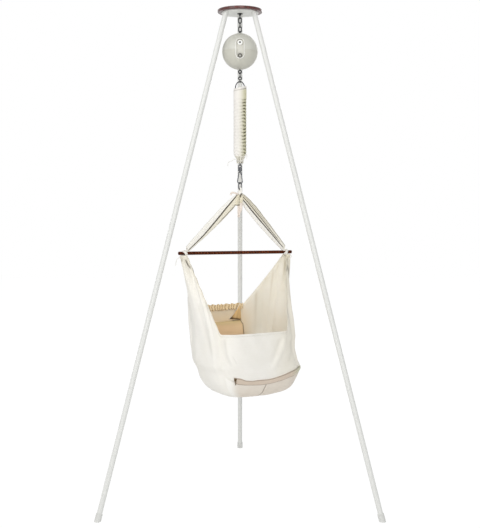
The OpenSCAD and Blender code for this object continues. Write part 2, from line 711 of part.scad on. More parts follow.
module carabiner()
  color(CHROME) at_axis() rotate([0, 0, snap_yaw]) {
    difference() {
      union() {
        translate([0, 0, snap_narrow_z]) ring_part(snap_narrow_r, snap_wire, flank, 180 - flank);
        translate([0, 0, snap_wide_z]) ring_part(snap_wide_r, snap_wire, 180 - flank, 360 + flank);
        rod(mirrored(narrow_at - wire_lap * flank_dir), mirrored(wide_at + wire_lap * flank_dir), straight_r);
        // Fork that holds the gate's pin
        rod(narrow_at - 2.5 * flank_dir, gate_pivot, fork_r);
        translate(gate_pivot + [0, 4, 0]) rotate([90, 0, 0]) cylinder(r = 3.2, h = 8, $fn = 32);
      }
      translate(gate_pivot + [0, 2.3, 0]) rotate([90, 0, 0]) cylinder(r = 4.2, h = 4.6, $fn = 32);
      translate(gate_pivot + [0, 6, 0]) rotate([90, 0, 0]) cylinder(r = 1, h = 12, $fn = 24);
    }
    translate([0, 0, snap_top_z]) cylinder(r = stem_r, h = swivel_boss_top + 0.4 - snap_top_z, $fn = FN);
    translate([0, 0, swivel_boss_top + 0.3]) cylinder(r = 4.5, h = 2.4, $fn = FN);
  }

module gate_pin()
  color(CHROME) at_axis() rotate([0, 0, snap_yaw]) translate(gate_pivot + [0, 4.4, 0]) rotate([90, 0, 0])
    cylinder(r = 1, h = 8.8, $fn = 24);

gate_len = norm(wide_at - gate_pivot) - 1;
module carabiner_gate()
  color(CHROME) at_axis() rotate([0, 0, snap_yaw]) difference() {
    union() {
      translate(gate_pivot + [0, 2, 0]) rotate([90, 0, 0]) cylinder(r = 3, h = 4, $fn = 32);
      rod(gate_pivot + 2.4 * flank_dir, gate_pivot + gate_len * flank_dir, 1.9);
    }
    translate(gate_pivot + [0, 6, 0]) rotate([90, 0, 0]) cylinder(r = 1.06, h = 12, $fn = 24);
  }

module oval_link() color(CHROME) at_axis(oval_z) chain_link(oval_span, oval_w, oval_wire, oval_yaw);

// ---- Carrying cloth ----
// Body of the knot: how far below the oval link, half length and half width of each ring
knot_rows = [[6, 10.5, 6.5], [13, 12, 10], [20, 17, 13], [29, 20, 14], [38, 18, 12], [48, 21, 13],
  [56, 15, 10]];
knot_folds = 5;
knot_n = 12;
knot_loop_r = 6.5;
knot_loop_d = 8;
// Hanging end of the cloth: middle line, half width and half thickness of each ring
tail_rows = [[-1, -11, 1277, 6, 3.5], [-2, -13, 1262, 4.5, 2.5], [-3, -13, 1244, 5, 2.5],
  [-3, -12, 1226, 5, 2.5]];
// Points that one foot of the loop shares: of the knot's top ring, of the crease across it, of the ring again
function loop_foot(right, crease) = let (q = knot_n / 4) [for (k = [0:knot_n - 1])
  k > q && k < 3 * q ? crease + k - q - 1 : right ? k : (k > q ? 6 : 2) * q - k];
module strap_knot() {
  n = knot_n;
  // The loop stands across the oval link's plane
  along = [sin(oval_yaw), -cos(oval_yaw), 0];
  level = [-along[1], along[0], 0];
  top = [0, 0, oval_bottom_z];
  body = concat(
    [for (row = knot_rows) section(top - [0, 0, row[0]], along, level, row[1], row[2], knot_folds, 0.25, n)],
    [for (row = tail_rows)
      section([row[0], row[1], row[2]], [1, 0, 0], [0, 1, 0], row[3], row[4], 4, 0.3, n)]);
  crease = [for (k = [1:n / 2 - 1])
    mid(body[0][n / 4], body[0][3 * n / 4], (1 - cos(360 * k / n)) / 2) - [0, 0, 1]];
  // The loop over the link: straight feet, then half a turn from the left foot to the right one
  loop = [for (step = [[180, 3], [180, 0], [144, 0], [108, 0], [72, 0], [36, 0], [0, 0], [0, 3]])
    let (out = cos(step[0]) * along + [0, 0, sin(step[0])])
      [for (k = [0:n - 1]) top + knot_loop_r * out - [0, 0, step[1]]
        + (out * cos(360 * k / n) + level * sin(360 * k / n)) * knot_loop_d / 2]];
  m = len(body);
  at_crease = m * n;
  at_loop = at_crease + len(crease);
  feet = concat([loop_foot(false, at_crease)],
    [for (j = [0:len(loop) - 1]) [for (k = [0:n - 1]) at_loop + j * n + k]], [loop_foot(true, at_crease)]);
  color(CLOTH) at_axis() polyhedron(
    concat(flat(body), crease, flat(loop), [mean(body[m - 1])]),
    concat(wall(n, m, 0, false), lid(n, (m - 1) * n, at_loop + len(loop) * n, true),
      [for (j = [0:len(feet) - 2]) for (k = [0:n - 1])
        let (a = feet[j][k], b = feet[j][(k + 1) % n], c = feet[j + 1][k], d = feet[j + 1][(k + 1) % n])
          each [[a, b, d], [a, d, c]]]));
}

// One side of the cloth, bunched in folds, from the knot to the bar.
// Each row: share of the way, share of the width, half thickness
strap_rows = [[0, 0.4, 8], [0.05, 0.62, 9], [0.1, 0.8, 10], [0.18, 0.97, 10], [0.3, 1, 9], [0.5, 0.94, 8],
  [0.7, 0.8, 7.5], [0.85, 0.66, 7.5], [0.95, 0.55, 7.5]];
strap_fold = 0.35;
strap_sag = 2;
strap_foot = [6.5, 14];
module strap(to, w, folds) {
  top = [0, 0, oval_bottom_z - 32] + 5 * unit([to[0], to[1], 0]);
  low = to + [0, 0, bar_r + 0.4];
  run = unit(low - top);
  level = unit(cross(run, [0, 0, 1]));
  up = cross(level, run);
  color(CLOTH) at_axis() loft(concat(
    [for (row = strap_rows) section(mid(top, low, row[0]) - [0, 0, strap_sag * sin(180 * row[0])], level, up,
      row[2], w * row[1], folds, strap_fold, 24)],
    [section(low, level, to[0] < 0 ? bar_dir : -bar_dir, strap_foot[0], strap_foot[1], folds,
      strap_fold, 24)]));
}
module strap_left() strap(tie_left, 21, 4);
module strap_right() strap(tie_right, 23, 6);

module spreader_bar()
  color(WOOD) at_axis() translate(bar_mid) rotate([0, 90 + bar_tilt, bar_yaw])
    translate([0, 0, -bar_len / 2]) rotate_extrude($fn = FN) {
      square([bar_r - 2, bar_len]);
      translate([0, 2]) square([bar_r, bar_len - 4]);
      for (x = [2, bar_len - 2]) translate([bar_r - 2, x]) circle(r = 2, $fn = 24);
    }

// Three turns of cord that lash the cloth to the bar
tie_d = 3;
module bar_tie(at)
  color(CORD) at_axis() translate(at) rotate([0, bar_tilt, bar_yaw])
    for (x = [-9, -3, 3, 9]) translate([x, 0, bar_r + 1.6])
      chain_link(bar_d + 9, bar_d + 2 * tie_d + 0.2, tie_d, 90);
module bar_tie_left() bar_tie(tie_left);
module bar_tie_right() bar_tie(tie_right);

// Loose ends of the lashings
tail_left_path = [[-238, -124, 1066], [-244, -129, 1063], [-251, -133, 1060], [-258, -136, 1056],
  [-264, -138, 1050], [-267, -139, 1042], [-268, -139, 1034], [-269, -139, 1026]];
tail_right_path = [[215, 106, 1056], [219, 103, 1055], [225, 102, 1053], [229, 102, 1048], [228, 102, 1042],
  [223, 102, 1038], [218, 102, 1035], [215, 102, 1030], [214, 102, 1024]];
module tie_tail_left() color(CORD) at_axis() tube(tail_left_path, tie_d);
module tie_tail_right() color(CORD) at_axis() tube(tail_right_path, tie_d);

// ---- Cloth cradle ----
// The body's own frame: u along its length, v across, then turned and moved into place; it tips with the bar
body_tip = 0.025;
function place(u, v, z) = [
  body_mid[0] + u * cos(body_yaw) - v * sin(body_yaw),
  body_mid[1] + u * sin(body_yaw) + v * cos(body_yaw), z - body_tip * u];

// Rounded rectangle at angle a, as [u, v] shares of the half sizes
corner_n = 3.6;
function round_box(a) = let (c = cos(a), s = sin(a), k = 2 / corner_n)
  [sign(c) * pow(abs(c), k), sign(s) * pow(abs(s), k)];

// Shape of the hanging body: height, shift along its length, half length, half width
levels = [[705, 13, body_a, body_b], [650, 11, body_a - 3, body_b + 4], [600, 20, body_a + 1, body_b + 2],
  [565, 37, body_a + 1, body_b - 3], [515, 36, body_a - 16, body_b - 14], [480, 34, body_a - 41, body_b - 32],
  [body_low_z + 10, 32, body_a - 81, body_b - 60], [body_low_z + 2, 30, body_a - 141, body_b - 100]];
function from_levels(z, k) = lookup(z, [for (row = levels) [row[0], row[k]]]);
// Point on the body at angle a and height z, this far outside the cloth's face
function body_at(a, z, out) = let (b = round_box(a))
  place(from_levels(z, 1) + (from_levels(z, 2) + out) * b[0], (from_levels(z, 3) + out) * b[1], z);

// Columns of the cloth by angle: right hem to the rear, rear rim, left hems, left gather, front rim,
// right gather
end_turn = 12;
hem_front_left = 219;
hem_front_right = 293.5;
hem_rear_right = 78;
hem_rear_left = 115;
spans = [[end_turn, hem_rear_right, 8], [hem_rear_right, hem_rear_left, 6],
  [hem_rear_left, 180 - end_turn, 7], [180 - end_turn, 180 + end_turn, 5],
  [180 + end_turn, hem_front_left, 6], [hem_front_left, hem_front_right, 11],
  [hem_front_right, 360 - end_turn, 6], [360 - end_turn, 360 + end_turn, 5]];
columns = [for (span = spans) for (i = [0:span[2] - 1]) mid(span[0], span[1], i / span[2])];
n_columns = len(columns);

function rim_point(a) = let (b = round_box(a))
  place(levels[0][1] + body_a * b[0], body_b * b[1], a > 180 && a < 360 ? front_rim_z : rear_rim_z);

// The gather under the bar: a flat U, open towards the middle of the bar
gather_l = 20;
gather_w = 9;
function gather(turn, side) =
  let (open = 110 * turn / end_turn, front = [sin(bar_yaw), -cos(bar_yaw), 0])
    (side < 0 ? tie_left : tie_right) - [0, 0, bar_r + 1.5]
      + side * (gather_l * cos(open) * bar_dir - gather_w * sin(open) * front);

// Top edge of the cloth: rims, straight hems that rise to the bar, and the gathers
hem_sag = 6;
function hem_from(a) =
  a < 90 ? hem_rear_right : a < 180 ? hem_rear_left : a < 270 ? hem_front_left : hem_front_right;
function top_edge(a) =
  let (side = a > 90 && a < 270 ? -1 : 1, turn = side < 0 ? a - 180 : (a > 180 ? a - 360 : a))
    abs(turn) <= end_turn ? gather(turn, side)
    : let (from = hem_from(a), full = side < 0 ? abs(from - 180) : (from > 180 ? 360 - from : from),
        k = (full - abs(turn)) / (full - end_turn))
      k < 0 ? rim_point(a)
      : mid(rim_point(from), gather(sign(turn) * end_turn, side), k) - [0, 0, hem_sag * sin(180 * k)];

// Vertical folds that run down from the gathers
fold = 3;
function fold_at(i, z) = let (b = round_box(columns[i]))
  fold * pow(abs(b[0]), 4) * (i % 2 == 0 ? 1 : -1) * max(0, (z - 560) / 140);
function cloth_ring(z, inset) = [for (i = [0:n_columns - 1])
  body_at(columns[i], z, fold_at(i, z) - inset) + [0, 0, z < 500 ? inset : 0]];
function cloth_rings(inset) = let (low = cloth_ring(levels[0][0], inset)) concat(
  [for (t = [0, 0.35, 0.7]) [for (i = [0:n_columns - 1])
    let (h = top_edge(columns[i]), c = place(0, 0, 0), in = unit([c[0] - h[0], c[1] - h[1], 0]) * inset)
      mid(h + in, low[i], t)]],
  [for (row = levels) cloth_ring(row[0], inset)]);

module cradle_cloth() {
  outer = cloth_rings(0);
  inner = cloth_rings(cloth_t);
  m = len(outer);
  n = n_columns;
  middle = place(levels[len(levels) - 1][1], 0, body_low_z);
  color(CLOTH) at_axis() polyhedron(
    concat(flat(outer), flat(inner), [middle, middle + [0, 0, cloth_t]]),
    concat(wall(n, m, 0, false), wall(n, m, m * n, true),
      lid(n, (m - 1) * n, 2 * m * n, true), lid(n, (2 * m - 1) * n, 2 * m * n + 1, false),
      [for (i = [0:n - 1]) let (a = i, b = (i + 1) % n, c = m * n + i, d = m * n + (i + 1) % n)
        each [[a, d, b], [a, c, d]]]));
}

// Ruffled strip sewn along the inside of the rear rim
frill_h = 27;
frill_up = 5;
frill_waves = 14;
module rear_frill() {
  n = 3 * frill_waves;
  rows = [for (i = [0:n])
    let (p = mid(rim_point(hem_rear_right), rim_point(hem_rear_left), (i + 0.5) / (n + 1)),
      b = round_box(mid(hem_rear_right, hem_rear_left, (i + 0.5) / (n + 1))),
      in = [sin(body_yaw), -cos(body_yaw), 0],
      wave = 1.5 + 1.5 * sin(360 * i * frill_waves / n + 40 * sin(77 * i)))
        [for (c = [[0.9, frill_up - frill_h], [0.9, frill_up], [2.4, frill_up],
          [4 + wave, frill_up - frill_h / 2], [3 + 2 * wave, frill_up - frill_h]])
            p + in * (cloth_t + c[0]) + [0, 0, c[1]]]];
  color(CLOTH) at_axis() loft(rows);
}

// ---- Mattress and its pocket ----
mattress_gap = 3;
mattress_h = 45;
mattress_z = body_low_z + cloth_t + 12 + mattress_gap;
mattress_cols = 30;
// From the top down: share of the height, how far inside the cloth
pad_rows = [[1, 60], [0.97, 30], [0.8, 12], [0.5, 8], [0.2, 10], [0.05, 24], [0, 40]];
module mattress()
  color(CLOTH) at_axis() loft([for (row = pad_rows) [for (i = [0:mattress_cols - 1])
    body_at(360 * i / mattress_cols, mattress_z + mattress_h * row[0], -row[1] - cloth_t)]]);

// Line of the seam between the body and its darker bottom panel: it sags in the middle and rises to the left
seam_z = 520;
seam_mid_u = -15;
function seam_level(a) =
  let (u = from_levels(seam_z, 1) + from_levels(seam_z, 2) * round_box(a)[0], k = (u - seam_mid_u) / 150)
    seam_z + (k < 0 ? 70 * k * k : 30 * ease(k));

// Darker cloth panel outside the body, below the seam
panel_from = 226;
panel_to = 352;
panel_gap = 1;
panel_t = 2;
panel_columns = [for (a = columns) if (a >= panel_from && a <= panel_to) a];
function panel_column(a, out) = [for (z = [seam_level(a) - 4, levels[4][0], levels[5][0], levels[6][0]])
  body_at(a, z, out) - [0, 0, z < 500 ? out / 2 : 0]];
module bottom_panel()
  color(CLOTH_DARK) at_axis() loft([for (a = panel_columns)
    let (back = panel_column(a, panel_gap), front = panel_column(a, panel_gap + panel_t))
      concat(back, [for (i = [len(front) - 1:-1:0]) front[i]])]);

// Zip along the seam, with its slider
zip_from = 234;
zip_half = 3.2;
zip_t = 1.5;
zip_columns = concat([zip_from], [for (a = columns) if (a > zip_from + 2 && a < panel_to) a]);
function zip_edge(a, up, out) = let (z = seam_level(a) + up) body_at(a, z, out);
module zip_tape()
  color(CLOTH) at_axis() loft([for (a = zip_columns)
    [for (c = [[-zip_half, 0], [-zip_half, zip_t], [zip_half, zip_t], [zip_half, 0]])
      zip_edge(a, c[0], panel_gap + c[1])]]);

slider_at = 238;
slider_to = 244;
module zip_slider() {
  p = zip_edge(slider_at, 0, panel_gap + zip_t);
  run = unit(zip_edge(slider_to, 0, panel_gap + zip_t) - p);
  color(CHROME) at_axis() translate(p) rotate([0, 0, atan2(run[1], run[0])]) {
    translate([-5, -3.6, -4]) cube([10, 2.8, 8]);
    translate([-2, -4.8, -24]) cube([4, 1.3, 26]);
  }
}

top_disc();
top_plate();
leg_left();
leg_right();
leg_rear();
leg_plugs();
leg_screws();
foot_left();
foot_right();
foot_rear();
eye_bolt();
eye_nut();
chain_link_1();
chain_link_2();
chain_link_3();
shell_upper();
shell_lower();
control_panel();
power_button();
power_lens();
speed_dial();
hanger_eye();
hanger_nut();
chassis();
drive_motor();
gearbox();
winch_drum();
pull_belt();
hook_guide();
pull_hook();
circuit_board();
dc_inlet();
shell_screws();
chain_link_4();
spring_top_hook();
spring();
spring_bottom_hook();
spring_cover();
cover_cord_left();
cover_cord_right();
swivel_eye();
carabiner();
carabiner_gate();
gate_pin();
oval_link();
strap_knot();
strap_left();
strap_right();
spreader_bar();
bar_tie_left();
bar_tie_right();
tie_tail_left();
tie_tail_right();
cradle_cloth();
rear_frill();
mattress();
bottom_panel();
zip_tape();
zip_slider();
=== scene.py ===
import math

import bpy
import numpy as np
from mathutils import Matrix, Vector


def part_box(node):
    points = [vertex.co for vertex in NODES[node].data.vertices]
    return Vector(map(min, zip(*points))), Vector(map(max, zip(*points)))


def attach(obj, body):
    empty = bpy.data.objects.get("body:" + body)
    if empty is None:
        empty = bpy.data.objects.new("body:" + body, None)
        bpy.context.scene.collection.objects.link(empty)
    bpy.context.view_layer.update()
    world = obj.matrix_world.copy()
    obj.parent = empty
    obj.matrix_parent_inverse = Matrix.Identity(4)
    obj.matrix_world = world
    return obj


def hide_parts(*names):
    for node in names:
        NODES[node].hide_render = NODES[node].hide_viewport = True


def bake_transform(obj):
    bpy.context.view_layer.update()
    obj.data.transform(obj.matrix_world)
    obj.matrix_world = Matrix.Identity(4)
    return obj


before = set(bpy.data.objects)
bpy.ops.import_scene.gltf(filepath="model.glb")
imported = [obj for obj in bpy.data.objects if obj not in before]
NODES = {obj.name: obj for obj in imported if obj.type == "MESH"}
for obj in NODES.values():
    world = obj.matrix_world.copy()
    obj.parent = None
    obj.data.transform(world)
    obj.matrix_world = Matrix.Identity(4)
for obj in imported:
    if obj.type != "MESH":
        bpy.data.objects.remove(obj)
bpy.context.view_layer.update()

bl_info = {
    "name": "Hammock Cradle on a Tripod Stand",
    "version": (1, 0, 0),
    "blender": (4, 5, 0),
    "location": "View3D > Sidebar > Cradle",
    "description": "Cotton hammock cradle on a spring and a rocking motor, in a tripod stand",
    "category": "Object",
}

# ---------------------------------------------------------------- measures shared with the solids, in metres
# The upright line that everything hangs on
AXIS = np.array([0.0, -0.167, 0.0])
# Spreader bar: turned and tilted a little; its lashings sit 30 mm from its ends
BAR_YAW = math.radians(27)
BAR_TILT = math.radians(1.2)
BAR_R = 0.00725
BAR_LEN = 0.548
BAR_DIR = np.array([math.cos(BAR_YAW) * math.cos(BAR_TILT), math.sin(BAR_YAW) * math.cos(BAR_TILT),
                    -math.sin(BAR_TILT)])
BAR_MID = np.array([-0.014, 0.0, 1.070]) + AXIS
TIE_LEFT = BAR_MID - (BAR_LEN / 2 - 0.030) * BAR_DIR
TIE_RIGHT = BAR_MID + (BAR_LEN / 2 - 0.030) * BAR_DIR
# Body of the cradle: its turn, its middle, how much it dips along its length, and its rims
BODY_YAW = math.radians(33)
BODY_MID = np.array([0.006, -0.002])
BODY_TIP = 0.025
FRONT_RIM, REAR_RIM = 0.738, 0.824
RIM_SHIFT, HALF_LENGTH, HALF_WIDTH = 0.013, 0.221, 0.150
# Lower bend of the oval link, and the link's turn
LINK_LOW = 1.34275
LINK_YAW = math.radians(42)
SLEEVE_TOP, SLEEVE_LOW, SLEEVE_R = 1.7770, 1.4863, 0.028
# Ball of the motor, and the ways from its middle to its button and its dial
BALL_MID = np.array([0.0, 0.0, 1.92695]) + AXIS
BUTTON_WAY = np.array([0.0, -math.cos(math.radians(20.8)), math.sin(math.radians(20.8))])
DIAL_WAY = np.array([0.0, -math.cos(math.radians(20.6)), -math.sin(math.radians(20.6))])
# Spring: top of its loop, both ends of its even coil, and height of the loop above it and of the cone below it
SPRING_TOP, COIL_TOP, COIL_LOW, CONE_H = 1.8003, 1.7743, 1.4923, 0.026
# Radius of the coil and of the cone's end, and the spring's whole length
COIL_R, CONE_END_R, SPRING_LONG = 0.021, 0.0052, 0.334
DRAWCORD_R, DRAWCORD_Z = 0.0146, 1.4636


# ---------------------------------------------------------------- properties
def linear(colour):
    """Linear RGB of an sRGB hex colour."""
    parts = [int(colour[i:i + 2], 16) / 255 for i in (1, 3, 5)]
    return tuple(p / 12.92 if p <= 0.04045 else ((p + 0.055) / 1.055) ** 2.4 for p in parts)


def size(label, text, default, **limits):
    return bpy.props.FloatProperty(name=label, description=text, default=default, unit="LENGTH", precision=4, **limits)


def colour(label, text, default):
    return bpy.props.FloatVectorProperty(name=label, description=text, default=linear(default), subtype="COLOR",
                                         size=3, min=0, max=1)


class CradleSizes(bpy.types.PropertyGroup):
    cloth: size("Cloth", "Thickness of the hanging cotton", 0.0014, min=0.0008, max=0.003)
    hem: size("Hem", "Width of the turned hems", 0.011, min=0.006, max=0.02)
    fold: size("Fold depth", "Depth of the folds that fall from the bar", 0.0042, min=0, max=0.008)
    ruche: size("Ruche depth", "Depth of the gathers on the spring's sleeve", 0.0036, min=0, max=0.0038)
    frill: size("Frill wave", "How far the frill's waves stand out", 0.0055, min=0.001, max=0.009)
    stitch: size("Stitch pitch", "Distance between stitches", 0.0042, min=0.002, max=0.01)
    coil_wire: size("Coil wire", "Diameter of the spring's wire", 0.004, min=0.003, max=0.005)
    tie_cord: size("Lashing cord", "Diameter of the cord round the bar", 0.003, min=0.002, max=0.004)


class CradleColours(bpy.types.PropertyGroup):
    cotton: colour("Cotton", "Outside of the cloth", "#F2EFE8")
    # Painted shade: the shading tint is the cream of cloth that turns away from the light, and the crease shade is the
    # dark deep in folds
    bunched: colour("Bunched cotton", "Cream of the cotton where it is bunched", "#E9DFC4")
    crease: colour("Creases", "Shade deep in the folds", "#4A402C")
    lining: colour("Lining", "Inside of the cloth at the ends", "#FBF8EE")
    # Painted shade and bounced light deep in the cradle
    deep_shade: colour("Deep lining", "Inside of the cloth deep in the cradle", "#F5DFBC")
    # The bottom panel's darker beige is partly the cloth's own colour and partly painted shade of the cradle's
    # underside
    panel: colour("Bottom panel", "Darker cloth under the zip", "#E3DACD")
    cord: colour("Cord", "Cotton cords and lashings", "#F4F1E8")
    wood: colour("Wood", "Darker grain of the wooden disc", "#4A1F1A")
    bar: colour("Bar", "Lighter streaks of the spreader bar", "#70371A")
    tube: colour("Tube", "Paint of the leg tubes", "#DDDDD9")
    plate: colour("Plate", "Paint of the steel plate", "#E6E6E1")
    ball: colour("Ball", "Upper shell of the motor", "#C9C8BE")
    # Painted shade: the lower shell is a little darker because less light falls on it from above
    ball_low: colour("Lower ball", "Lower shell of the motor", "#C4C2B6")
    # Painted reflection: both steels are given darker colours than the metal, as if they mirrored dark surroundings
    steel: colour("Steel", "Zinc-plated chain and hooks", "#303236")
    bright: colour("Bright steel", "Polished carabiner and swivel", "#6C6E72")


def sizes():
    return bpy.context.scene.cradle_sizes


def colours():
    return bpy.context.scene.cradle_colours


def rgba(value):
    """A shader's colour, from a colour property or from an sRGB hex colour."""
    return (*(linear(value) if isinstance(value, str) else value[:3]), 1.0)


# ---------------------------------------------------------------- materials
def add(tree, kind, sockets=None, **settings):
    """Adds a node: settings are its own properties, sockets its inputs, each a value or an output to link."""
    made = tree.nodes.new(kind)
    for key, value in settings.items():
        setattr(made, key, value)
    for key, value in (sockets or {}).items():
        if isinstance(value, bpy.types.NodeSocket):
            tree.links.new(value, made.inputs[key])
        else:
            made.inputs[key].default_value = value
    return made


def begin(name):
    """An empty material with its tree, its object coordinates and its UV map."""
    material = bpy.data.materials.new(name)
    material.use_nodes = True
    tree = material.node_tree
    tree.nodes.clear()
    where = add(tree, "ShaderNodeTexCoord")
    return material, tree, where.outputs["Object"], where.outputs["UV"]


def end(tree, shader, bump=None):
    out = add(tree, "ShaderNodeOutputMaterial")
    tree.links.new(shader.outputs[0], out.inputs["Surface"])
    if bump:
        tree.links.new(bump.outputs["Normal"], shader.inputs["Normal"])


# Width of one band of the wave texture at a scale of 1
BAND = 0.314


def woven(name, face, shade, thread=0.0018, bump=0.12, follow_uv=True, deep_shade=None, bunched=None, crease=None):
    """Plain-weave cotton canvas: matte with a soft sheen, slubs in the yarn and faint creases.
    Real yarns lie 0.5 mm apart; they are drawn 1.8 mm apart so that the weave shows at all."""
    material, tree, place, flat = begin(name)
    at = flat if follow_uv else place
    wave = BAND / thread
    warp = add(tree, "ShaderNodeTexWave", {"Vector": at, "Scale": wave, "Distortion": 0.6, "Detail": 1.0},
               bands_direction="X")
    weft = add(tree, "ShaderNodeTexWave", {"Vector": at, "Scale": wave, "Distortion": 0.6, "Detail": 1.0},
               bands_direction="Y")
    weave = add(tree, "ShaderNodeMath", {0: warp.outputs["Fac"], 1: weft.outputs["Fac"]}, operation="MULTIPLY")
    stretch = add(tree, "ShaderNodeMapping", {"Vector": at, "Scale": (18, 240, 60)})
    slub = add(tree, "ShaderNodeTexNoise", {"Vector": stretch.outputs[0], "Scale": 1.0, "Detail": 3.0})
    blotch = add(tree, "ShaderNodeTexNoise", {"Vector": place, "Scale": 9.0, "Detail": 4.0, "Roughness": 0.6})
    rumple = add(tree, "ShaderNodeTexNoise", {"Vector": place, "Scale": 34.0, "Detail": 5.0, "Roughness": 0.55})
    tone = add(tree, "ShaderNodeMapRange", {"Value": blotch.outputs["Fac"], "From Min": 0.35, "From Max": 0.72,
                                            "To Max": 0.55})
    colour_mix = add(tree, "ShaderNodeMix", {0: tone.outputs[0], 6: rgba(face), 7: rgba(shade)}, data_type="RGBA")
    if deep_shade:
        # Painted shade and bounced light: the lining grows warmer towards the deep rear of the cradle, where cream
        # cloth faces cream cloth
        split = add(tree, "ShaderNodeSeparateXYZ", {"Vector": place})
        low = add(tree, "ShaderNodeMapRange", {"Value": split.outputs["Z"], "From Min": 0.90, "From Max": 0.72},
                  interpolation_type="SMOOTHSTEP")
        back = add(tree, "ShaderNodeMapRange", {"Value": split.outputs["X"], "From Min": 0.09, "From Max": -0.02},
                   interpolation_type="SMOOTHSTEP")
        deep = add(tree, "ShaderNodeMath", {0: low.outputs[0], 1: back.outputs[0]}, operation="MULTIPLY")
        colour_mix = add(tree, "ShaderNodeMix", {0: deep.outputs[0], 6: colour_mix.outputs[2], 7: rgba(deep_shade)},
                         data_type="RGBA")
    # Painted light and shade, read from marks on the mesh: a tint that stands for how light falls on the cloth, and
    # dark painted shade deep in its folds
    for label, tint in (("bunched", bunched or colours().bunched), ("crease", crease or colours().crease)):
        mark = add(tree, "ShaderNodeAttribute", attribute_name=label)
        colour_mix = add(tree, "ShaderNodeMix", {0: mark.outputs["Fac"], 6: colour_mix.outputs[2], 7: rgba(tint)},
                         data_type="RGBA")
    yarn = add(tree, "ShaderNodeMapRange", {"Value": weave.outputs[0], "From Min": 0.0, "From Max": 1.0,
                                            "To Min": 0.98, "To Max": 1.0})
    slubs = add(tree, "ShaderNodeMapRange", {"Value": slub.outputs["Fac"], "From Min": 0.3, "From Max": 0.7,
                                             "To Min": 0.985, "To Max": 1.0})
    both = add(tree, "ShaderNodeMath", {0: yarn.outputs[0], 1: slubs.outputs[0]}, operation="MULTIPLY")
    shaded = add(tree, "ShaderNodeMix", {0: 1.0, 6: colour_mix.outputs[2], 7: both.outputs[0]}, data_type="RGBA",
                 blend_type="MULTIPLY")
    fine = add(tree, "ShaderNodeBump", {"Height": weave.outputs[0], "Strength": bump, "Distance": 0.0004})
    soft = add(tree, "ShaderNodeBump", {"Height": rumple.outputs["Fac"], "Strength": 0.25, "Distance": 0.0016,
                                        "Normal": fine.outputs[0]})
    shader = add(tree, "ShaderNodeBsdfPrincipled", {"Base Color": shaded.outputs[2], "Roughness": 0.92,
                                                    "Sheen Weight": 0.12, "Sheen Roughness": 0.5,
                                                    "Specular IOR Level": 0.25})
    end(tree, shader, soft)
    return material


def laid_cord(name, face):
    """Twisted cotton cord: matte, with the shadow between its three strands along the lay."""
    material, tree, place, flat = begin(name)
    lay = add(tree, "ShaderNodeMapping", {"Vector": flat, "Rotation": (0, 0, math.radians(38))})
    strand = add(tree, "ShaderNodeTexWave", {"Vector": lay.outputs[0], "Scale": 110.0, "Distortion": 0.8})
    fuzz = add(tree, "ShaderNodeTexNoise", {"Vector": place, "Scale": 900.0, "Detail": 3.0})
    dim = add(tree, "ShaderNodeMapRange", {"Value": strand.outputs["Fac"], "To Min": 0.78, "To Max": 1.0})
    tinted = add(tree, "ShaderNodeMix", {0: 1.0, 6: rgba(face), 7: dim.outputs[0]}, data_type="RGBA",
                 blend_type="MULTIPLY")
    deep = add(tree, "ShaderNodeBump", {"Height": strand.outputs["Fac"], "Strength": 0.7, "Distance": 0.0006})
    hair = add(tree, "ShaderNodeBump", {"Height": fuzz.outputs["Fac"], "Strength": 0.25, "Distance": 0.0003,
                                        "Normal": deep.outputs[0]})
    shader = add(tree, "ShaderNodeBsdfPrincipled", {"Base Color": tinted.outputs[2], "Roughness": 0.95,
                                                    "Sheen Weight": 0.15})
    end(tree, shader, hair)
    return material


def stained_wood(name, dark, light, turn=(0, 0, 0), stretch=(1, 1, 1), gloss=0.34, coat=0.3, shine=0.3):
    """Stained and varnished hardwood: long grain, darker pores and an even satin varnish.
    Grain lines of about 1.5 mm are drawn 5 mm apart, which still reads as fine grain."""
    material, tree, place, _ = begin(name)
    lie = add(tree, "ShaderNodeMapping", {"Vector": place, "Rotation": turn, "Scale": stretch})
    drift = add(tree, "ShaderNodeTexNoise", {"Vector": lie.outputs[0], "Scale": 14.0, "Detail": 5.0,
                                             "Roughness": 0.62, "Distortion": 0.4})
    rings = add(tree, "ShaderNodeTexWave", {"Vector": lie.outputs[0], "Scale": 62.0, "Distortion": 5.5,
                                            "Detail": 3.0, "Detail Scale": 1.4}, bands_direction="Y")
    pores = add(tree, "ShaderNodeTexNoise", {"Vector": lie.outputs[0], "Scale": 160.0, "Detail": 2.0})
    blend = add(tree, "ShaderNodeMath", {0: drift.outputs["Fac"], 1: rings.outputs["Fac"]}, operation="MULTIPLY")
    streak = add(tree, "ShaderNodeMapRange", {"Value": blend.outputs[0], "From Min": 0.12, "From Max": 0.5})
    grain = add(tree, "ShaderNodeMix", {0: streak.outputs[0], 6: rgba(dark), 7: rgba(light)}, data_type="RGBA")
    pore = add(tree, "ShaderNodeMapRange", {"Value": pores.outputs["Fac"], "From Min": 0.38, "From Max": 0.55,
                                            "To Min": 0.62, "To Max": 1.0})
    tinted = add(tree, "ShaderNodeMix", {0: 1.0, 6: grain.outputs[2], 7: pore.outputs[0]}, data_type="RGBA",
                 blend_type="MULTIPLY")
    rough = add(tree, "ShaderNodeMapRange", {"Value": drift.outputs["Fac"], "To Min": gloss - 0.06,
                                             "To Max": gloss + 0.1})
    lift = add(tree, "ShaderNodeBump", {"Height": pores.outputs["Fac"], "Strength": 0.12, "Distance": 0.0004})
    shader = add(tree, "ShaderNodeBsdfPrincipled", {"Base Color": tinted.outputs[2], "Roughness": rough.outputs[0],
                                                    "Coat Weight": coat, "Coat Roughness": 0.15,
                                                    "Specular IOR Level": shine})
    end(tree, shader, lift)
    return material


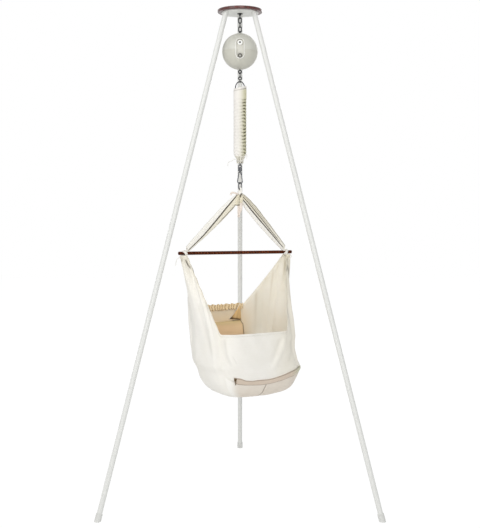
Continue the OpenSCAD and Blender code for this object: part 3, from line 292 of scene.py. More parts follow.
def powder_coat(name, face, rough=0.42):
    """Powder-coated steel: an even satin paint with a fine orange peel of about 1.5 mm."""
    material, tree, place, _ = begin(name)
    skin = add(tree, "ShaderNodeTexNoise", {"Vector": place, "Scale": 700.0, "Detail": 2.0})
    cloud = add(tree, "ShaderNodeTexNoise", {"Vector": place, "Scale": 3.5, "Detail": 3.0})
    tone = add(tree, "ShaderNodeMapRange", {"Value": cloud.outputs["Fac"], "To Min": 0.97, "To Max": 1.0})
    tinted = add(tree, "ShaderNodeMix", {0: 1.0, 6: rgba(face), 7: tone.outputs[0]}, data_type="RGBA",
                 blend_type="MULTIPLY")
    gloss = add(tree, "ShaderNodeMapRange", {"Value": skin.outputs["Fac"], "To Min": rough - 0.05,
                                             "To Max": rough + 0.07})
    lift = add(tree, "ShaderNodeBump", {"Height": skin.outputs["Fac"], "Strength": 0.03, "Distance": 0.0004})
    shader = add(tree, "ShaderNodeBsdfPrincipled", {"Base Color": tinted.outputs[2], "Roughness": gloss.outputs[0]})
    end(tree, shader, lift)
    return material


def plated_steel(name, face, rough=0.16, worn=0.12):
    """Plated steel wire: metallic, with a painted reflection of dark and bright streaks in its colour, and duller
    where the streaks are dark.
    """
    material, tree, place, _ = begin(name)
    reflection_streaks = add(tree, "ShaderNodeTexNoise", {"Vector": place, "Scale": 120.0, "Detail": 5.0, "Roughness": 0.65})
    draw = add(tree, "ShaderNodeTexNoise", {"Vector": place, "Scale": 1400.0, "Detail": 2.0})
    tone = add(tree, "ShaderNodeMapRange", {"Value": reflection_streaks.outputs["Fac"], "From Min": 0.3, "From Max": 0.7,
                                            "To Min": 0.3, "To Max": 1.0})
    tinted = add(tree, "ShaderNodeMix", {0: 1.0, 6: rgba(face), 7: tone.outputs[0]}, data_type="RGBA",
                 blend_type="MULTIPLY")
    gloss = add(tree, "ShaderNodeMapRange", {"Value": reflection_streaks.outputs["Fac"], "From Min": 0.3, "From Max": 0.7,
                                             "To Min": rough + worn, "To Max": rough})
    lift = add(tree, "ShaderNodeBump", {"Height": draw.outputs["Fac"], "Strength": 0.06, "Distance": 0.0002})
    shader = add(tree, "ShaderNodeBsdfPrincipled", {"Base Color": tinted.outputs[2], "Metallic": 1.0,
                                                    "Roughness": gloss.outputs[0]})
    end(tree, shader, lift)
    return material


def moulded(name, face, rough=0.45, grit=1100.0, bump=0.1, middle=None, near=0.0, far=1.0, outer=None):
    """Injection-moulded plastic: fine spark-eroded grain, slightly uneven gloss.
    With a middle, the colour turns to the outer one between two distances from it: painted shade, in a recess or round
    a knob."""
    material, tree, place, _ = begin(name)
    grain = add(tree, "ShaderNodeTexNoise", {"Vector": place, "Scale": grit, "Detail": 2.0})
    flow = add(tree, "ShaderNodeTexNoise", {"Vector": place, "Scale": 22.0, "Detail": 3.0})
    tone = add(tree, "ShaderNodeMapRange", {"Value": flow.outputs["Fac"], "From Min": 0.3, "From Max": 0.7,
                                            "To Min": 0.965, "To Max": 1.0})
    tinted = add(tree, "ShaderNodeMix", {0: 1.0, 6: rgba(face), 7: tone.outputs[0]}, data_type="RGBA",
                 blend_type="MULTIPLY")
    if middle is not None:
        away = add(tree, "ShaderNodeVectorMath", {0: place, 1: tuple(map(float, middle))}, operation="DISTANCE")
        share = add(tree, "ShaderNodeMapRange", {"Value": away.outputs["Value"], "From Min": near, "From Max": far})
        tinted = add(tree, "ShaderNodeMix", {0: share.outputs[0], 6: tinted.outputs[2], 7: rgba(outer)},
                     data_type="RGBA")
    gloss = add(tree, "ShaderNodeMapRange", {"Value": grain.outputs["Fac"], "To Min": rough - 0.05,
                                             "To Max": rough + 0.08})
    lift = add(tree, "ShaderNodeBump", {"Height": grain.outputs["Fac"], "Strength": bump, "Distance": 0.0003})
    shader = add(tree, "ShaderNodeBsdfPrincipled", {"Base Color": tinted.outputs[2], "Roughness": gloss.outputs[0]})
    end(tree, shader, lift)
    return material


def finish_nodes(names, material):
    """Gives solids that stay as they are their finish."""
    for name in names:
        piece = NODES[name]
        piece.data.materials.clear()
        piece.data.materials.append(material)


_made = {}


def finish(key):
    """The finish of that name, made when it is first asked for."""
    if key not in _made:
        c = colours()
        _made[key] = {
            "cotton": lambda: woven("cotton_canvas", c.cotton, "#E9E5DA"),
            "lining": lambda: woven("unbleached_cotton_lining", c.lining, "#F6F0DF", deep_shade=c.deep_shade,
                                    crease="#B9A684"),
            "strap": lambda: woven("folded_cotton_canvas", c.cotton, "#E9E5DA", bunched="#E6DDC2",
                                   crease="#3C3222"),
            "sleeve": lambda: woven("ruched_cotton_sleeve", "#EDE9E3", "#E5E0DA",
                                    bunched="#D6D2B2", crease="#4C4726"),
            "band": lambda: woven("quilted_lining_band", "#FADDB6", "#F4CFA6",
                                  bunched="#E3CD9A", crease="#5A3F22"),
            "tuck": lambda: woven("folded_lining_tuck", "#E8C48C", "#D8AE72",
                                  crease="#4A3218"),
            "frill": lambda: woven("gathered_cotton_frill", "#FFEAC4", "#F4D6A4", thread=0.0014,
                                   crease="#94703C"),
            "tail": lambda: woven("washed_cotton_end", "#E9DDD2", "#DFD0C3"),
            "panel": lambda: woven("beige_cotton_twill", c.panel, "#D3C7B8", bunched=c.cotton,
                                   crease="#6B5748"),
            "placket": lambda: woven("beige_cotton_placket", "#D4C4B3", "#C8B7A4",
                                     bunched="#D2D2B8", crease="#6B5748"),
            "thread": lambda: laid_cord("sewing_thread", "#E4DCCB"),
            "cord": lambda: laid_cord("twisted_cotton_cord", c.cord),
            "steel": lambda: plated_steel("zinc_plated_steel", c.steel),
            "bright": lambda: plated_steel("polished_nickel_steel", c.bright, 0.12, 0.08),
            "brass": lambda: plated_steel("aged_brass_teeth", "#7A6448", 0.35, 0.1),
        }[key]()
    return _made[key]


# ---------------------------------------------------------------- mesh tools
def put(name, data):
    """A new object in the scene."""
    made = bpy.data.objects.new(name, data)
    bpy.context.scene.collection.objects.link(made)
    return made


def piece_from(name, verts, faces, materials, uvs=None):
    """A new object from points and faces; uvs holds one pair for each corner of each face."""
    mesh = bpy.data.meshes.new(name)
    mesh.from_pydata([tuple(map(float, v)) for v in verts], [], [tuple(map(int, f)) for f in faces])
    for material in materials:
        mesh.materials.append(material)
    if uvs is not None:
        layer = mesh.uv_layers.new(name="UVMap")
        layer.data.foreach_set("uv", np.asarray(uvs, np.float32).ravel())
    mesh.polygons.foreach_set("use_smooth", [True] * len(mesh.polygons))
    mesh.update()
    return put(name, mesh)


def gaps(path):
    """Distances between the points of a path."""
    return np.linalg.norm(np.diff(path, axis=0), axis=1)


def run_over(lengths):
    """Way covered up to each point."""
    return np.concatenate([[0], np.cumsum(lengths)])


def whole_turn(count):
    return np.linspace(0, 2 * math.pi, count, endpoint=False)


def bell(x):
    return np.exp(-x ** 2)


def surface(name, grid, materials, closed=False, cap_first=False, cap_last=False, flip=False, **marks):
    """A skin over rows of points. Rows run down and columns run anticlockwise, so faces look outwards.
    Marks are shares for each point, which the material reads by name."""
    grid = np.asarray(grid, float)
    rows, cols = grid.shape[:2]
    wide = np.concatenate([grid, grid[:, :1]], 1) if closed else grid
    across = np.linalg.norm(np.diff(wide, axis=1), axis=2).mean(0)
    u = run_over(across)
    v = -run_over(np.linalg.norm(np.diff(grid, axis=0), axis=2).mean(1))
    span = cols if closed else cols - 1
    r, c = np.meshgrid(np.arange(rows - 1), np.arange(span), indexing="ij")
    n = (c + 1) % cols
    quads = np.stack([r * cols + c, (r + 1) * cols + c, (r + 1) * cols + n, r * cols + n], -1).reshape(-1, 4)
    uv = np.stack([np.stack([u[c], v[r]], -1), np.stack([u[c], v[r + 1]], -1), np.stack([u[c + 1], v[r + 1]], -1),
                   np.stack([u[c + 1], v[r]], -1)], 2).reshape(-1, 4, 2)
    if flip:
        quads, uv = quads[:, ::-1], uv[:, ::-1]
    verts = list(grid.reshape(-1, 3))
    faces, corners = quads.tolist(), uv.reshape(-1, 2).tolist()
    for wanted, row, upper in ((cap_first, 0, True), (cap_last, rows - 1, False)):
        if not wanted:
            continue
        hub = len(verts)
        verts.append(grid[row].mean(0))
        for k in range(span):
            a, b = row * cols + k, row * cols + (k + 1) % cols
            faces.append([hub, a, b] if upper != flip else [hub, b, a])
            corners += [[0.0, v[row]], [0.01, v[row]], [0.0, v[row] + 0.01]]
    made = piece_from(name, verts, faces, materials, corners)
    for label, share in marks.items():
        values = np.zeros(len(verts), np.float32)
        values[:rows * cols] = np.clip(np.broadcast_to(share, (rows, cols)), 0, 1).ravel()
        made.data.attributes.new(label, "FLOAT", "POINT").data.foreach_set("value", values)
    return made


def unit(v):
    v = np.asarray(v, float)
    return v / np.maximum(np.linalg.norm(v, axis=-1, keepdims=True), 1e-12)


def ease(t):
    t = np.clip(t, 0, 1)
    return t * t * (3 - 2 * t)


def hermite(a, m, b, n, t):
    """The curve from a to b that leaves with slope m and arrives with slope n."""
    return ((2 * t ** 3 - 3 * t ** 2 + 1) * a + (t ** 3 - 2 * t ** 2 + t) * m + (3 * t ** 2 - 2 * t ** 3) * b
            + (t ** 3 - t ** 2) * n)


def through(rows, t):
    """A smooth curve through rows of numbers, at t counted in rows."""
    rows = np.asarray(rows, float)
    t = np.clip(np.asarray(t, float), 0, len(rows) - 1)
    i = np.minimum(t.astype(int), len(rows) - 2)
    before, a, b, after = rows[np.maximum(i - 1, 0)], rows[i], rows[i + 1], rows[np.minimum(i + 2, len(rows) - 1)]
    return hermite(a, (b - before) / 2, b, (after - a) / 2, (t - i)[..., None])


def outward(grid, closed=True):
    """Outward directions of a skin whose rows run down and whose columns run anticlockwise."""
    down = np.gradient(grid, axis=0)
    if closed:
        along = (np.roll(grid, -1, 1) - np.roll(grid, 1, 1)) / 2
    else:
        along = np.gradient(grid, axis=1)
    return unit(np.cross(down, along))


def across_path(path):
    """Two directions across a path that don't twist along it."""
    along = unit(np.gradient(np.asarray(path, float), axis=0))
    first = np.array([0, 1, 0]) if abs(along[0][1]) < 0.9 else np.array([1, 0, 0])
    side = [unit(np.cross(along[0], first))]
    for t in along[1:]:
        side.append(unit(side[-1] - t * (side[-1] @ t)))
    return np.array(side), np.cross(along, side)


def tube(name, path, radius, material, sides=12, strands=0, lay=0.012):
    """A closed round tube along a path; strands lay its surface in a twist."""
    side, other = across_path(path)
    turn = whole_turn(sides)
    reach = np.full((len(path), sides), float(radius))
    if strands:
        twist = 2 * math.pi * run_over(gaps(path))[:, None] / lay
        reach *= 0.86 + 0.14 * np.abs(np.cos(strands / 2 * (turn[None] - twist)))
    grid = (np.asarray(path)[:, None] + side[:, None] * (np.cos(turn)[None, :, None] * reach[..., None])
            + other[:, None] * (np.sin(turn)[None, :, None] * reach[..., None]))
    return surface(name, grid, [material], closed=True, cap_first=True, cap_last=True, flip=True)


def smooth_path(points, step=0.001):
    """Points about a step apart on a smooth curve through the given ones."""
    points = np.asarray(points, float)
    t = np.concatenate([k + np.linspace(0, 1, max(2, int(gap / step) + 1), endpoint=False)
                        for k, gap in enumerate(gaps(points))] + [[len(points) - 1.0]])
    return through(points, t)


def turned(name, middle, axis, profile, material, sides=40):
    """A lathe shape: its profile gives height along the axis and radius, from the top down."""
    one = unit(np.cross(axis, [1.0, 0.3, 0.2]))
    two = np.cross(axis, one)
    a = whole_turn(sides)
    grid = [middle + np.asarray(axis) * h + one * (r * np.cos(a))[:, None] + two * (r * np.sin(a))[:, None]
            for h, r in profile]
    return surface(name, grid, [material], closed=True, cap_first=True, cap_last=True)


def plain_mesh(piece):
    """Applies what is live on a piece and keeps the result as its mesh."""
    graph = bpy.context.evaluated_depsgraph_get()
    mesh = bpy.data.meshes.new_from_object(piece.evaluated_get(graph), preserve_all_data_layers=True, depsgraph=graph)
    piece.modifiers.clear()
    piece.data = mesh


def cloth_skin(name, grid, materials, thickness, **shape):
    """A skin with its thickness laid inwards; a second material goes on its inside."""
    made = surface(name, grid, materials, **shape)
    solid = made.modifiers.new("thickness", "SOLIDIFY")
    solid.thickness = thickness
    solid.offset = -1.0
    solid.use_even_offset = False
    solid.material_offset = len(materials) - 1
    plain_mesh(made)
    return made


# ---------------------------------------------------------------- node trees that repeat or follow
def tree_with(name, inputs):
    tree = bpy.data.node_groups.new(name, "GeometryNodeTree")
    tree.interface.new_socket("Geometry", in_out="INPUT", socket_type="NodeSocketGeometry")
    for label, kind, default in inputs:
        socket = tree.interface.new_socket(label, in_out="INPUT", socket_type=kind)
        if default is not None:
            socket.default_value = default
    tree.interface.new_socket("Geometry", in_out="OUTPUT", socket_type="NodeSocketGeometry")
    return tree, add(tree, "NodeGroupInput")


def close_tree(tree, given, shape, smooth=True):
    real = add(tree, "GeometryNodeRealizeInstances", {"Geometry": shape})
    shade = add(tree, "GeometryNodeSetShadeSmooth", {"Geometry": real.outputs[0], "Shade Smooth": smooth})
    coated = add(tree, "GeometryNodeSetMaterial", {"Geometry": shade.outputs[0], "Material": given.outputs["Finish"]})
    add(tree, "NodeGroupOutput", {"Geometry": coated.outputs[0]})
    return tree


def wire_tree():
    """Draws a round wire along the edges of the mesh."""
    tree, given = tree_with("Round wire along a path", [
        ("Radius", "NodeSocketFloat", 0.002), ("Sides", "NodeSocketInt", 10), ("Finish", "NodeSocketMaterial", None)])
    line = add(tree, "GeometryNodeMeshToCurve", {"Mesh": given.outputs["Geometry"]})
    ring = add(tree, "GeometryNodeCurvePrimitiveCircle", {"Resolution": given.outputs["Sides"],
                                                          "Radius": given.outputs["Radius"]})
    swept = add(tree, "GeometryNodeCurveToMesh", {"Curve": line.outputs[0], "Profile Curve": ring.outputs[0],
                                                  "Fill Caps": True})
    return close_tree(tree, given, swept.outputs[0])


def row_tree(block):
    """Repeats a small shape along the edges of the mesh, turned to the line and to the cloth's face."""
    tree, given = tree_with("Teeth along a line" if block else "Stitches along a line", [
        ("Pitch", "NodeSocketFloat", 0.004), ("Size", "NodeSocketVector", (0.001, 0.001, 0.003)),
        ("Finish", "NodeSocketMaterial", None)])
    line = add(tree, "GeometryNodeMeshToCurve", {"Mesh": given.outputs["Geometry"]})
    even = add(tree, "GeometryNodeResampleCurve", {"Curve": line.outputs[0], "Length": given.outputs["Pitch"]},
               mode="LENGTH")
    grain = (add(tree, "GeometryNodeMeshCube", {"Size": (1, 1, 1)}) if block
             else add(tree, "GeometryNodeMeshIcoSphere", {"Radius": 0.5, "Subdivisions": 2}))
    along = add(tree, "GeometryNodeInputTangent")
    facing = add(tree, "GeometryNodeInputNamedAttribute", {"Name": "facing"}, data_type="FLOAT_VECTOR")
    lined_up = add(tree, "FunctionNodeAlignRotationToVector", {"Vector": along.outputs[0]}, axis="Z")
    faced = add(tree, "FunctionNodeAlignRotationToVector", {"Rotation": lined_up.outputs[0],
                                                           "Vector": facing.outputs[0]}, axis="X", pivot_axis="Z")
    many = add(tree, "GeometryNodeInstanceOnPoints", {"Points": even.outputs[0], "Instance": grain.outputs[0],
                                                      "Rotation": faced.outputs[0], "Scale": given.outputs["Size"]})
    return close_tree(tree, given, many.outputs[0], not block)


_trees = {}


def grown(name, lines, kind, facing=None, **values):
    """Runs a node tree over lines of points and keeps the result as a plain mesh."""
    makers = {"wire": wire_tree, "stitch": lambda: row_tree(False), "tooth": lambda: row_tree(True)}
    if kind not in _trees:
        _trees[kind] = makers[kind]()
    verts = np.concatenate(lines)
    edges, start = [], 0
    for line in lines:
        edges += [(start + k, start + k + 1) for k in range(len(line) - 1)]
        start += len(line)
    mesh = bpy.data.meshes.new(name)
    mesh.from_pydata([tuple(map(float, v)) for v in verts], edges, [])
    if facing is not None:
        mark = mesh.attributes.new("facing", "FLOAT_VECTOR", "POINT")
        mark.data.foreach_set("vector", np.concatenate(facing).astype(np.float32).ravel())
    made = put(name, mesh)
    grow = made.modifiers.new("grow", "NODES")
    grow.node_group = _trees[kind]
    for item in _trees[kind].interface.items_tree:
        if item.item_type == "SOCKET" and item.in_out == "INPUT" and item.name in values:
            grow[item.identifier] = values[item.name]
    plain_mesh(made)
    if not len(made.data.polygons):
        raise RuntimeError(f"{name}: the node tree made nothing")
    return made


# ---------------------------------------------------------------- the hanging cloth's shape
# Height, shift along the body, half length and half width, from the rims down to the lowest point
LEVELS = [[0.705, 0.007, 0.215, 0.150], [0.650, 0.009, 0.216, 0.154], [0.600, 0.020, 0.222, 0.152],
          [0.565, 0.037, 0.222, 0.147], [0.513, 0.037, 0.204, 0.136], [0.475, 0.039, 0.175, 0.118],
          [0.455, 0.037, 0.135, 0.090], [0.446, 0.033, 0.077, 0.050], [0.4440, 0.031, 0.038, 0.025],
          [0.4434, 0.028, 0.003, 0.002]]
_dense = through(LEVELS, np.linspace(0, len(LEVELS) - 1, 600))
# The gathered ends reach this many degrees to each side of the body's length
END_TURN = 12
# Angles at which hems meet rims, anticlockwise: rear right, rear left, front left, front right
HEMS = (78, 115, 219, 293.5)
# Stretches of the girth between those, and how many times COLUMNS_PER_SPAN columns each one takes
SPANS = [(12, 78, 8), (78, 115, 6), (115, 168, 7), (168, 192, 5), (192, 219, 6), (219, 293.5, 11), (293.5, 348, 6),
         (348, 372, 5)]
COLUMNS_PER_SPAN = 7


def place(u, v, z):
    """A point of the body's own frame, in the object's frame."""
    c, s = math.cos(BODY_YAW), math.sin(BODY_YAW)
    return np.stack([BODY_MID[0] + u * c - v * s, BODY_MID[1] + AXIS[1] + u * s + v * c, z - BODY_TIP * u], -1)


def round_box(degrees):
    """The body's outline seen from above, between an ellipse and a box, with half sizes of 1."""
    a = np.radians(np.asarray(degrees, float))
    c, s, k = np.cos(a), np.sin(a), 2 / 3.6
    return np.sign(c) * np.abs(c) ** k, np.sign(s) * np.abs(s) ** k


def body_at(degrees, z, out=0.0):
    """A point on the cloth's outer face at that angle and height, moved outwards."""
    shift, a, b = (np.interp(-np.asarray(z, float), -_dense[:, 0], _dense[:, k]) for k in (1, 2, 3))
    c, s = round_box(degrees)
    return place(shift + (a + out) * c, (b + out) * s, np.asarray(z, float) + 0 * c)


def rim_point(degrees):
    c, s = round_box(degrees)
    high = FRONT_RIM if 180 < degrees < 360 else REAR_RIM
    return place(RIM_SHIFT + HALF_LENGTH * c, HALF_WIDTH * s, high)


def from_ends(degrees):
    """Which end of the body an angle belongs to, -1 or 1, and its turn from the middle of that end."""
    left = (degrees > 90) & (degrees < 270)
    return np.where(left, -1, 1), np.where(left, degrees - 180, np.where(degrees > 180, degrees - 360, degrees))


def gather_point(turn, side):
    """The gathered edge under the bar, a flat U."""
    opened = math.radians(110 * turn / END_TURN)
    front = np.array([math.sin(BAR_YAW), -math.cos(BAR_YAW), 0])
    tie = TIE_LEFT if side < 0 else TIE_RIGHT
    return tie - [0, 0, BAR_R + 0.0015] + side * (0.020 * math.cos(opened) * BAR_DIR
                                                 - 0.009 * math.sin(opened) * front)


def top_edge(degrees):
    a = degrees % 360
    side, turn = from_ends(a)
    if abs(turn) <= END_TURN:
        return gather_point(turn, side)
    start = HEMS[int(a // 90)]
    full = abs(from_ends(start)[1])
    k = (full - abs(turn)) / (full - END_TURN)
    if k < 0:
        return rim_point(a)
    low, high = rim_point(start), gather_point(math.copysign(END_TURN, turn), side)
    return low * (1 - k) + high * k - [0, 0, 0.006 * math.sin(math.pi * k)]


# Way covered round the cloth's girth up to each angle; even steps of angle aren't even steps of way
_turns = np.linspace(0, 384, 24000)
_girth = run_over(np.hypot(*(half * np.diff(part) for half, part in zip((HALF_LENGTH, HALF_WIDTH),
                                                                       round_box(_turns)))))


def girth(degrees):
    return np.interp(degrees, _turns, _girth)


def even_angles(first, last, count):
    """Angles that lie evenly along the girth."""
    return np.interp(np.linspace(girth(first), girth(last), count), _girth, _turns)


def column_angles():
    return np.concatenate([even_angles(low, high, n * COLUMNS_PER_SPAN + 1)[:-1] for low, high, n in SPANS])


def near_line(flat, line):
    """Distance of flat points from a line, and the share of the way along it at the nearest place."""
    best = np.full(flat.shape[:-1], np.inf)
    share = np.zeros_like(best)
    line = np.asarray(line, float)
    lengths = gaps(line)
    run = run_over(lengths)
    for k in range(len(line) - 1):
        d = line[k + 1] - line[k]
        t = np.clip(((flat - line[k]) @ d) / (d @ d), 0, 1)
        distance = np.linalg.norm(flat - (line[k] + t[..., None] * d), axis=-1)
        closer = distance < best
        best = np.where(closer, distance, best)
        share = np.where(closer, (run[k] + t * lengths[k]) / run[-1], share)
    return best, share


# Soft folds of the front: a line in X and Z, half width, height; + stands out, - sinks in
FRONT_FOLDS = [
    ([(-0.083, 0.740), (-0.078, 0.690), (-0.066, 0.645), (-0.024, 0.566)], 0.012, 0.0040),
    ([(-0.066, 0.732), (-0.056, 0.660), (-0.030, 0.600)], 0.014, -0.0028),
    ([(-0.032, 0.655), (-0.010, 0.612)], 0.006, -0.0012),
    ([(0.200, 0.735), (0.182, 0.660), (0.150, 0.600), (0.138, 0.562)], 0.012, 0.0055),
    ([(0.176, 0.715), (0.156, 0.650), (0.130, 0.590)], 0.013, -0.0038),
    ([(0.222, 0.700), (0.226, 0.640), (0.214, 0.590)], 0.014, -0.0030),
    ([(-0.190, 0.900), (-0.158, 0.800), (-0.130, 0.700), (-0.110, 0.620)], 0.016, -0.0020),
]
# Folds that fall from the gathers: turn from the end's middle in degrees, width, height, reach in metres
END_FOLDS = {
    -1: [(-27, 3.5, 1.0, 0.30), (-19, 3.0, -0.9, 0.26), (-12, 2.6, 1.0, 0.24), (-5, 2.4, -0.8, 0.20),
         (2, 2.4, 0.8, 0.22), (9, 3.0, -0.9, 0.24), (17, 3.2, 1.0, 0.26), (26, 4.0, -0.9, 0.30), (37, 5.0, 0.9, 0.34)],
    1: [(-44, 5.0, -1.0, 0.36), (-33, 4.0, 1.2, 0.36), (-24, 3.2, -1.3, 0.34), (-16, 2.8, 1.3, 0.30),
        (-8, 2.6, -1.1, 0.28), (0, 2.6, 1.0, 0.26), (8, 3.0, -0.9, 0.26), (17, 3.2, 1.0, 0.30), (28, 4.0, -0.9, 0.36),
        (41, 5.0, 0.8, 0.40), (56, 6.0, -0.7, 0.40)],
}


def cloth_grid():
    """Rows of points of the cradle's cloth from its top edge to its lowest point, and its rows' distances down."""
    angles = column_angles()
    top = np.array([top_edge(a) for a in angles])
    for _ in range(2):
        top = 0.5 * top + 0.25 * (np.roll(top, 1, 0) + np.roll(top, -1, 0))
    steps = np.linspace(0, len(LEVELS) - 1, 7 * (len(LEVELS) - 1) + 1)
    rows = through(LEVELS, steps)
    c, s = round_box(angles)
    body = np.array([place(r[1] + r[2] * c, r[3] * s, r[0] + 0 * c) for r in rows])
    start, heading = body[0], unit(body[1] - body[0])
    gap = np.linalg.norm(start - top, axis=1, keepdims=True)
    hem = sizes().hem
    upper, down = [], []
    for d in [0.0, 0.0015, hem, hem + 0.0015] + [None] * 40:
        k = len(upper) - 3
        away = np.full((len(angles), 1), d) if d is not None else (hem + 0.0015) + (gap - hem - 0.0015) * k / 41
        t = np.clip(away / gap, 0, 1)
        upper.append(hermite(top, start - top, start, 0.5 * (start - top) + 0.35 * heading * gap, t))
        down.append(away[:, 0])
    grid = np.concatenate([np.array(upper), body])
    below = gap[:, 0] + np.linalg.norm(np.diff(body, axis=0), axis=2).cumsum(0)
    down = np.concatenate([np.array(down), gap.T, below])
    return angles, grid, down


# Deepest creases under the lashings, sunk in and darkened with painted shade: a line in X and Z, half width, strength
END_CREASES = [
    ([(-0.2140, 1.056), (-0.2040, 1.036), (-0.1970, 1.015), (-0.1910, 0.990)], 0.0030, 1.0),
    ([(-0.2290, 1.048), (-0.2190, 1.030), (-0.2040, 1.008)], 0.0026, 0.85),
    ([(-0.2430, 1.056), (-0.2420, 1.035)], 0.0030, 0.35),
    ([(0.1915, 1.036), (0.1925, 1.000), (0.1920, 0.966)], 0.0034, 0.50),
    ([(0.2050, 1.010), (0.2040, 0.980)], 0.0026, 0.40),
    ([(0.2125, 1.004), (0.2180, 0.960), (0.2235, 0.922), (0.2270, 0.880)], 0.0030, 0.50),
]


def drape(angles, grid, down):
    """Moves the cloth along its face into folds, hems and soft waves; also gives its marks of painted shade."""
    fold = sizes().fold
    face = outward(grid)
    lift = np.zeros(grid.shape[:2])
    crease = np.zeros(grid.shape[:2])
    side, turn = from_ends(angles)
    column = np.arange(len(angles))
    # Tight pleats just under the lashings
    near = np.exp(-down / 0.050) * bell(turn / 34.0)
    lift += 0.0030 * near * np.cos(2 * math.pi * column / 6.0)
    for end, folds in END_FOLDS.items():
        for middle, width, height, reach in folds:
            across = bell((turn - middle) / width) * (side == end)
            fall = ease(down / 0.03) * np.exp(-(down / reach) ** 2.2)
            lift += fold * height * across[None] * fall
            # Folds that sink in are also darkened with painted shade
            if height < 0:
                narrow = bell((turn - middle) / (0.45 * width)) * (side == end)
                crease += 0.30 * narrow[None] * ease(down / 0.03) * bell(down / (0.35 * reach))
    # Wider waves that reach the body
    for end, phase in ((-1, 0.4), (1, 1.3)):
        across = np.cos(turn * math.pi / 14 + phase) * bell(turn / 42.0) * (side == end)
        lift += 0.0022 * across[None] * ease(down / 0.10) * (1 - ease((down - 0.34) / 0.20))
    # The outer columns of each end fall straight from the bar, so they bow outwards at first
    fall = np.sin(math.pi * np.clip(down / 0.34, 0, 1))
    lift += 0.011 * fall * bell((turn + 24) / 20.0) * (side < 0)
    lift += 0.008 * fall * bell((turn + 22) / 18.0) * (side > 0)
    front = (face[..., 1] < 0.1).astype(float) * (grid[..., 2] > 0.50)
    flat = grid[..., [0, 2]]
    for line, width, height in FRONT_FOLDS:
        distance, share = near_line(flat, line)
        ends = front * ease(share * 5) * ease((1 - share) * 4)
        lift += height * bell(distance / width) * ends
        # Folds that sink in are also darkened with painted shade
        if height < 0:
            crease += 0.10 * bell(distance / (0.4 * width)) * ends
    for line, width, strength in END_CREASES:
        distance, share = near_line(flat, line)
        ends = ease(share * 8 + 0.3) * ease((1 - share) * 4)
        spread = bell(distance / width) * ends * (face[..., 1] < 0.1)
        lift -= 0.0022 * strength * spread
        crease += strength * spread
    # The turned hem is twice as thick, and its edge waves a little
    hem = sizes().hem
    lift += 0.0009 * (down < hem + 0.0005)
    x, y, z = grid[..., 0], grid[..., 1], grid[..., 2]
    edge = np.exp(-down / 0.045) * (1 - bell(turn / 16.0))
    lift += edge * 0.0014 * (np.sin(71 * x + 53 * y + 37 * z) + 0.6 * np.sin(127 * x - 91 * y + 64 * z + 1.7))
    calm = ease((grid[..., 2] - 0.47) / 0.08)
    lift += calm * 0.0011 * (np.sin(29 * x + 17 * z + 0.5) * np.sin(23 * y - 13 * z + 1.1)
                             + 0.7 * np.sin(47 * x - 31 * z + 2.0) * np.sin(39 * z + 27 * y))
    # The cloth is bunched under the lashings; there, and at the right end of the front, it takes the painted warm
    # shading tint
    bunched = 0.55 * np.exp(-down / 0.06) * bell(turn / 40.0)
    bunched = bunched + 0.30 * front * ease((grid[..., 0] - 0.10) / 0.12)
    return grid + face * lift[..., None], crease, bunched


# ---------------------------------------------------------------- operators
# The camera: height of its picture and focal length in pixels, place in metres and degrees down from level
PICTURE_HIGH, FOCAL, CAMERA_AT, CAMERA_DOWN = 528, 858, (0, -3.881, 1.345), 5
SENSOR = 36.0
# Lamps: name, place, what they aim at, size in metres and power in watts
LAMPS = [("window_left", (-2.6, -3.2, 3.4), (0, -0.1, 1.0), 2.2, 54),
         ("window_front", (0.5, -4.4, 2.4), (0, -0.1, 0.9), 2.2, 56),
         ("window_back", (1.6, 4.4, 3.0), (0, -0.1, 0.9), 2.2, 50)]


def seen_plainly(tree):
    """1 for what the camera, a mirroring surface or a clear one sees, and 0 for what only takes its light."""
    ray = add(tree, "ShaderNodeLightPath")
    seen = add(tree, "ShaderNodeMath", {0: ray.outputs["Is Camera Ray"], 1: ray.outputs["Is Glossy Ray"]},
               operation="MAXIMUM")
    clear = add(tree, "ShaderNodeMath", {0: seen.outputs[0], 1: ray.outputs["Is Transmission Ray"]},
                operation="MAXIMUM")
    return clear.outputs[0]


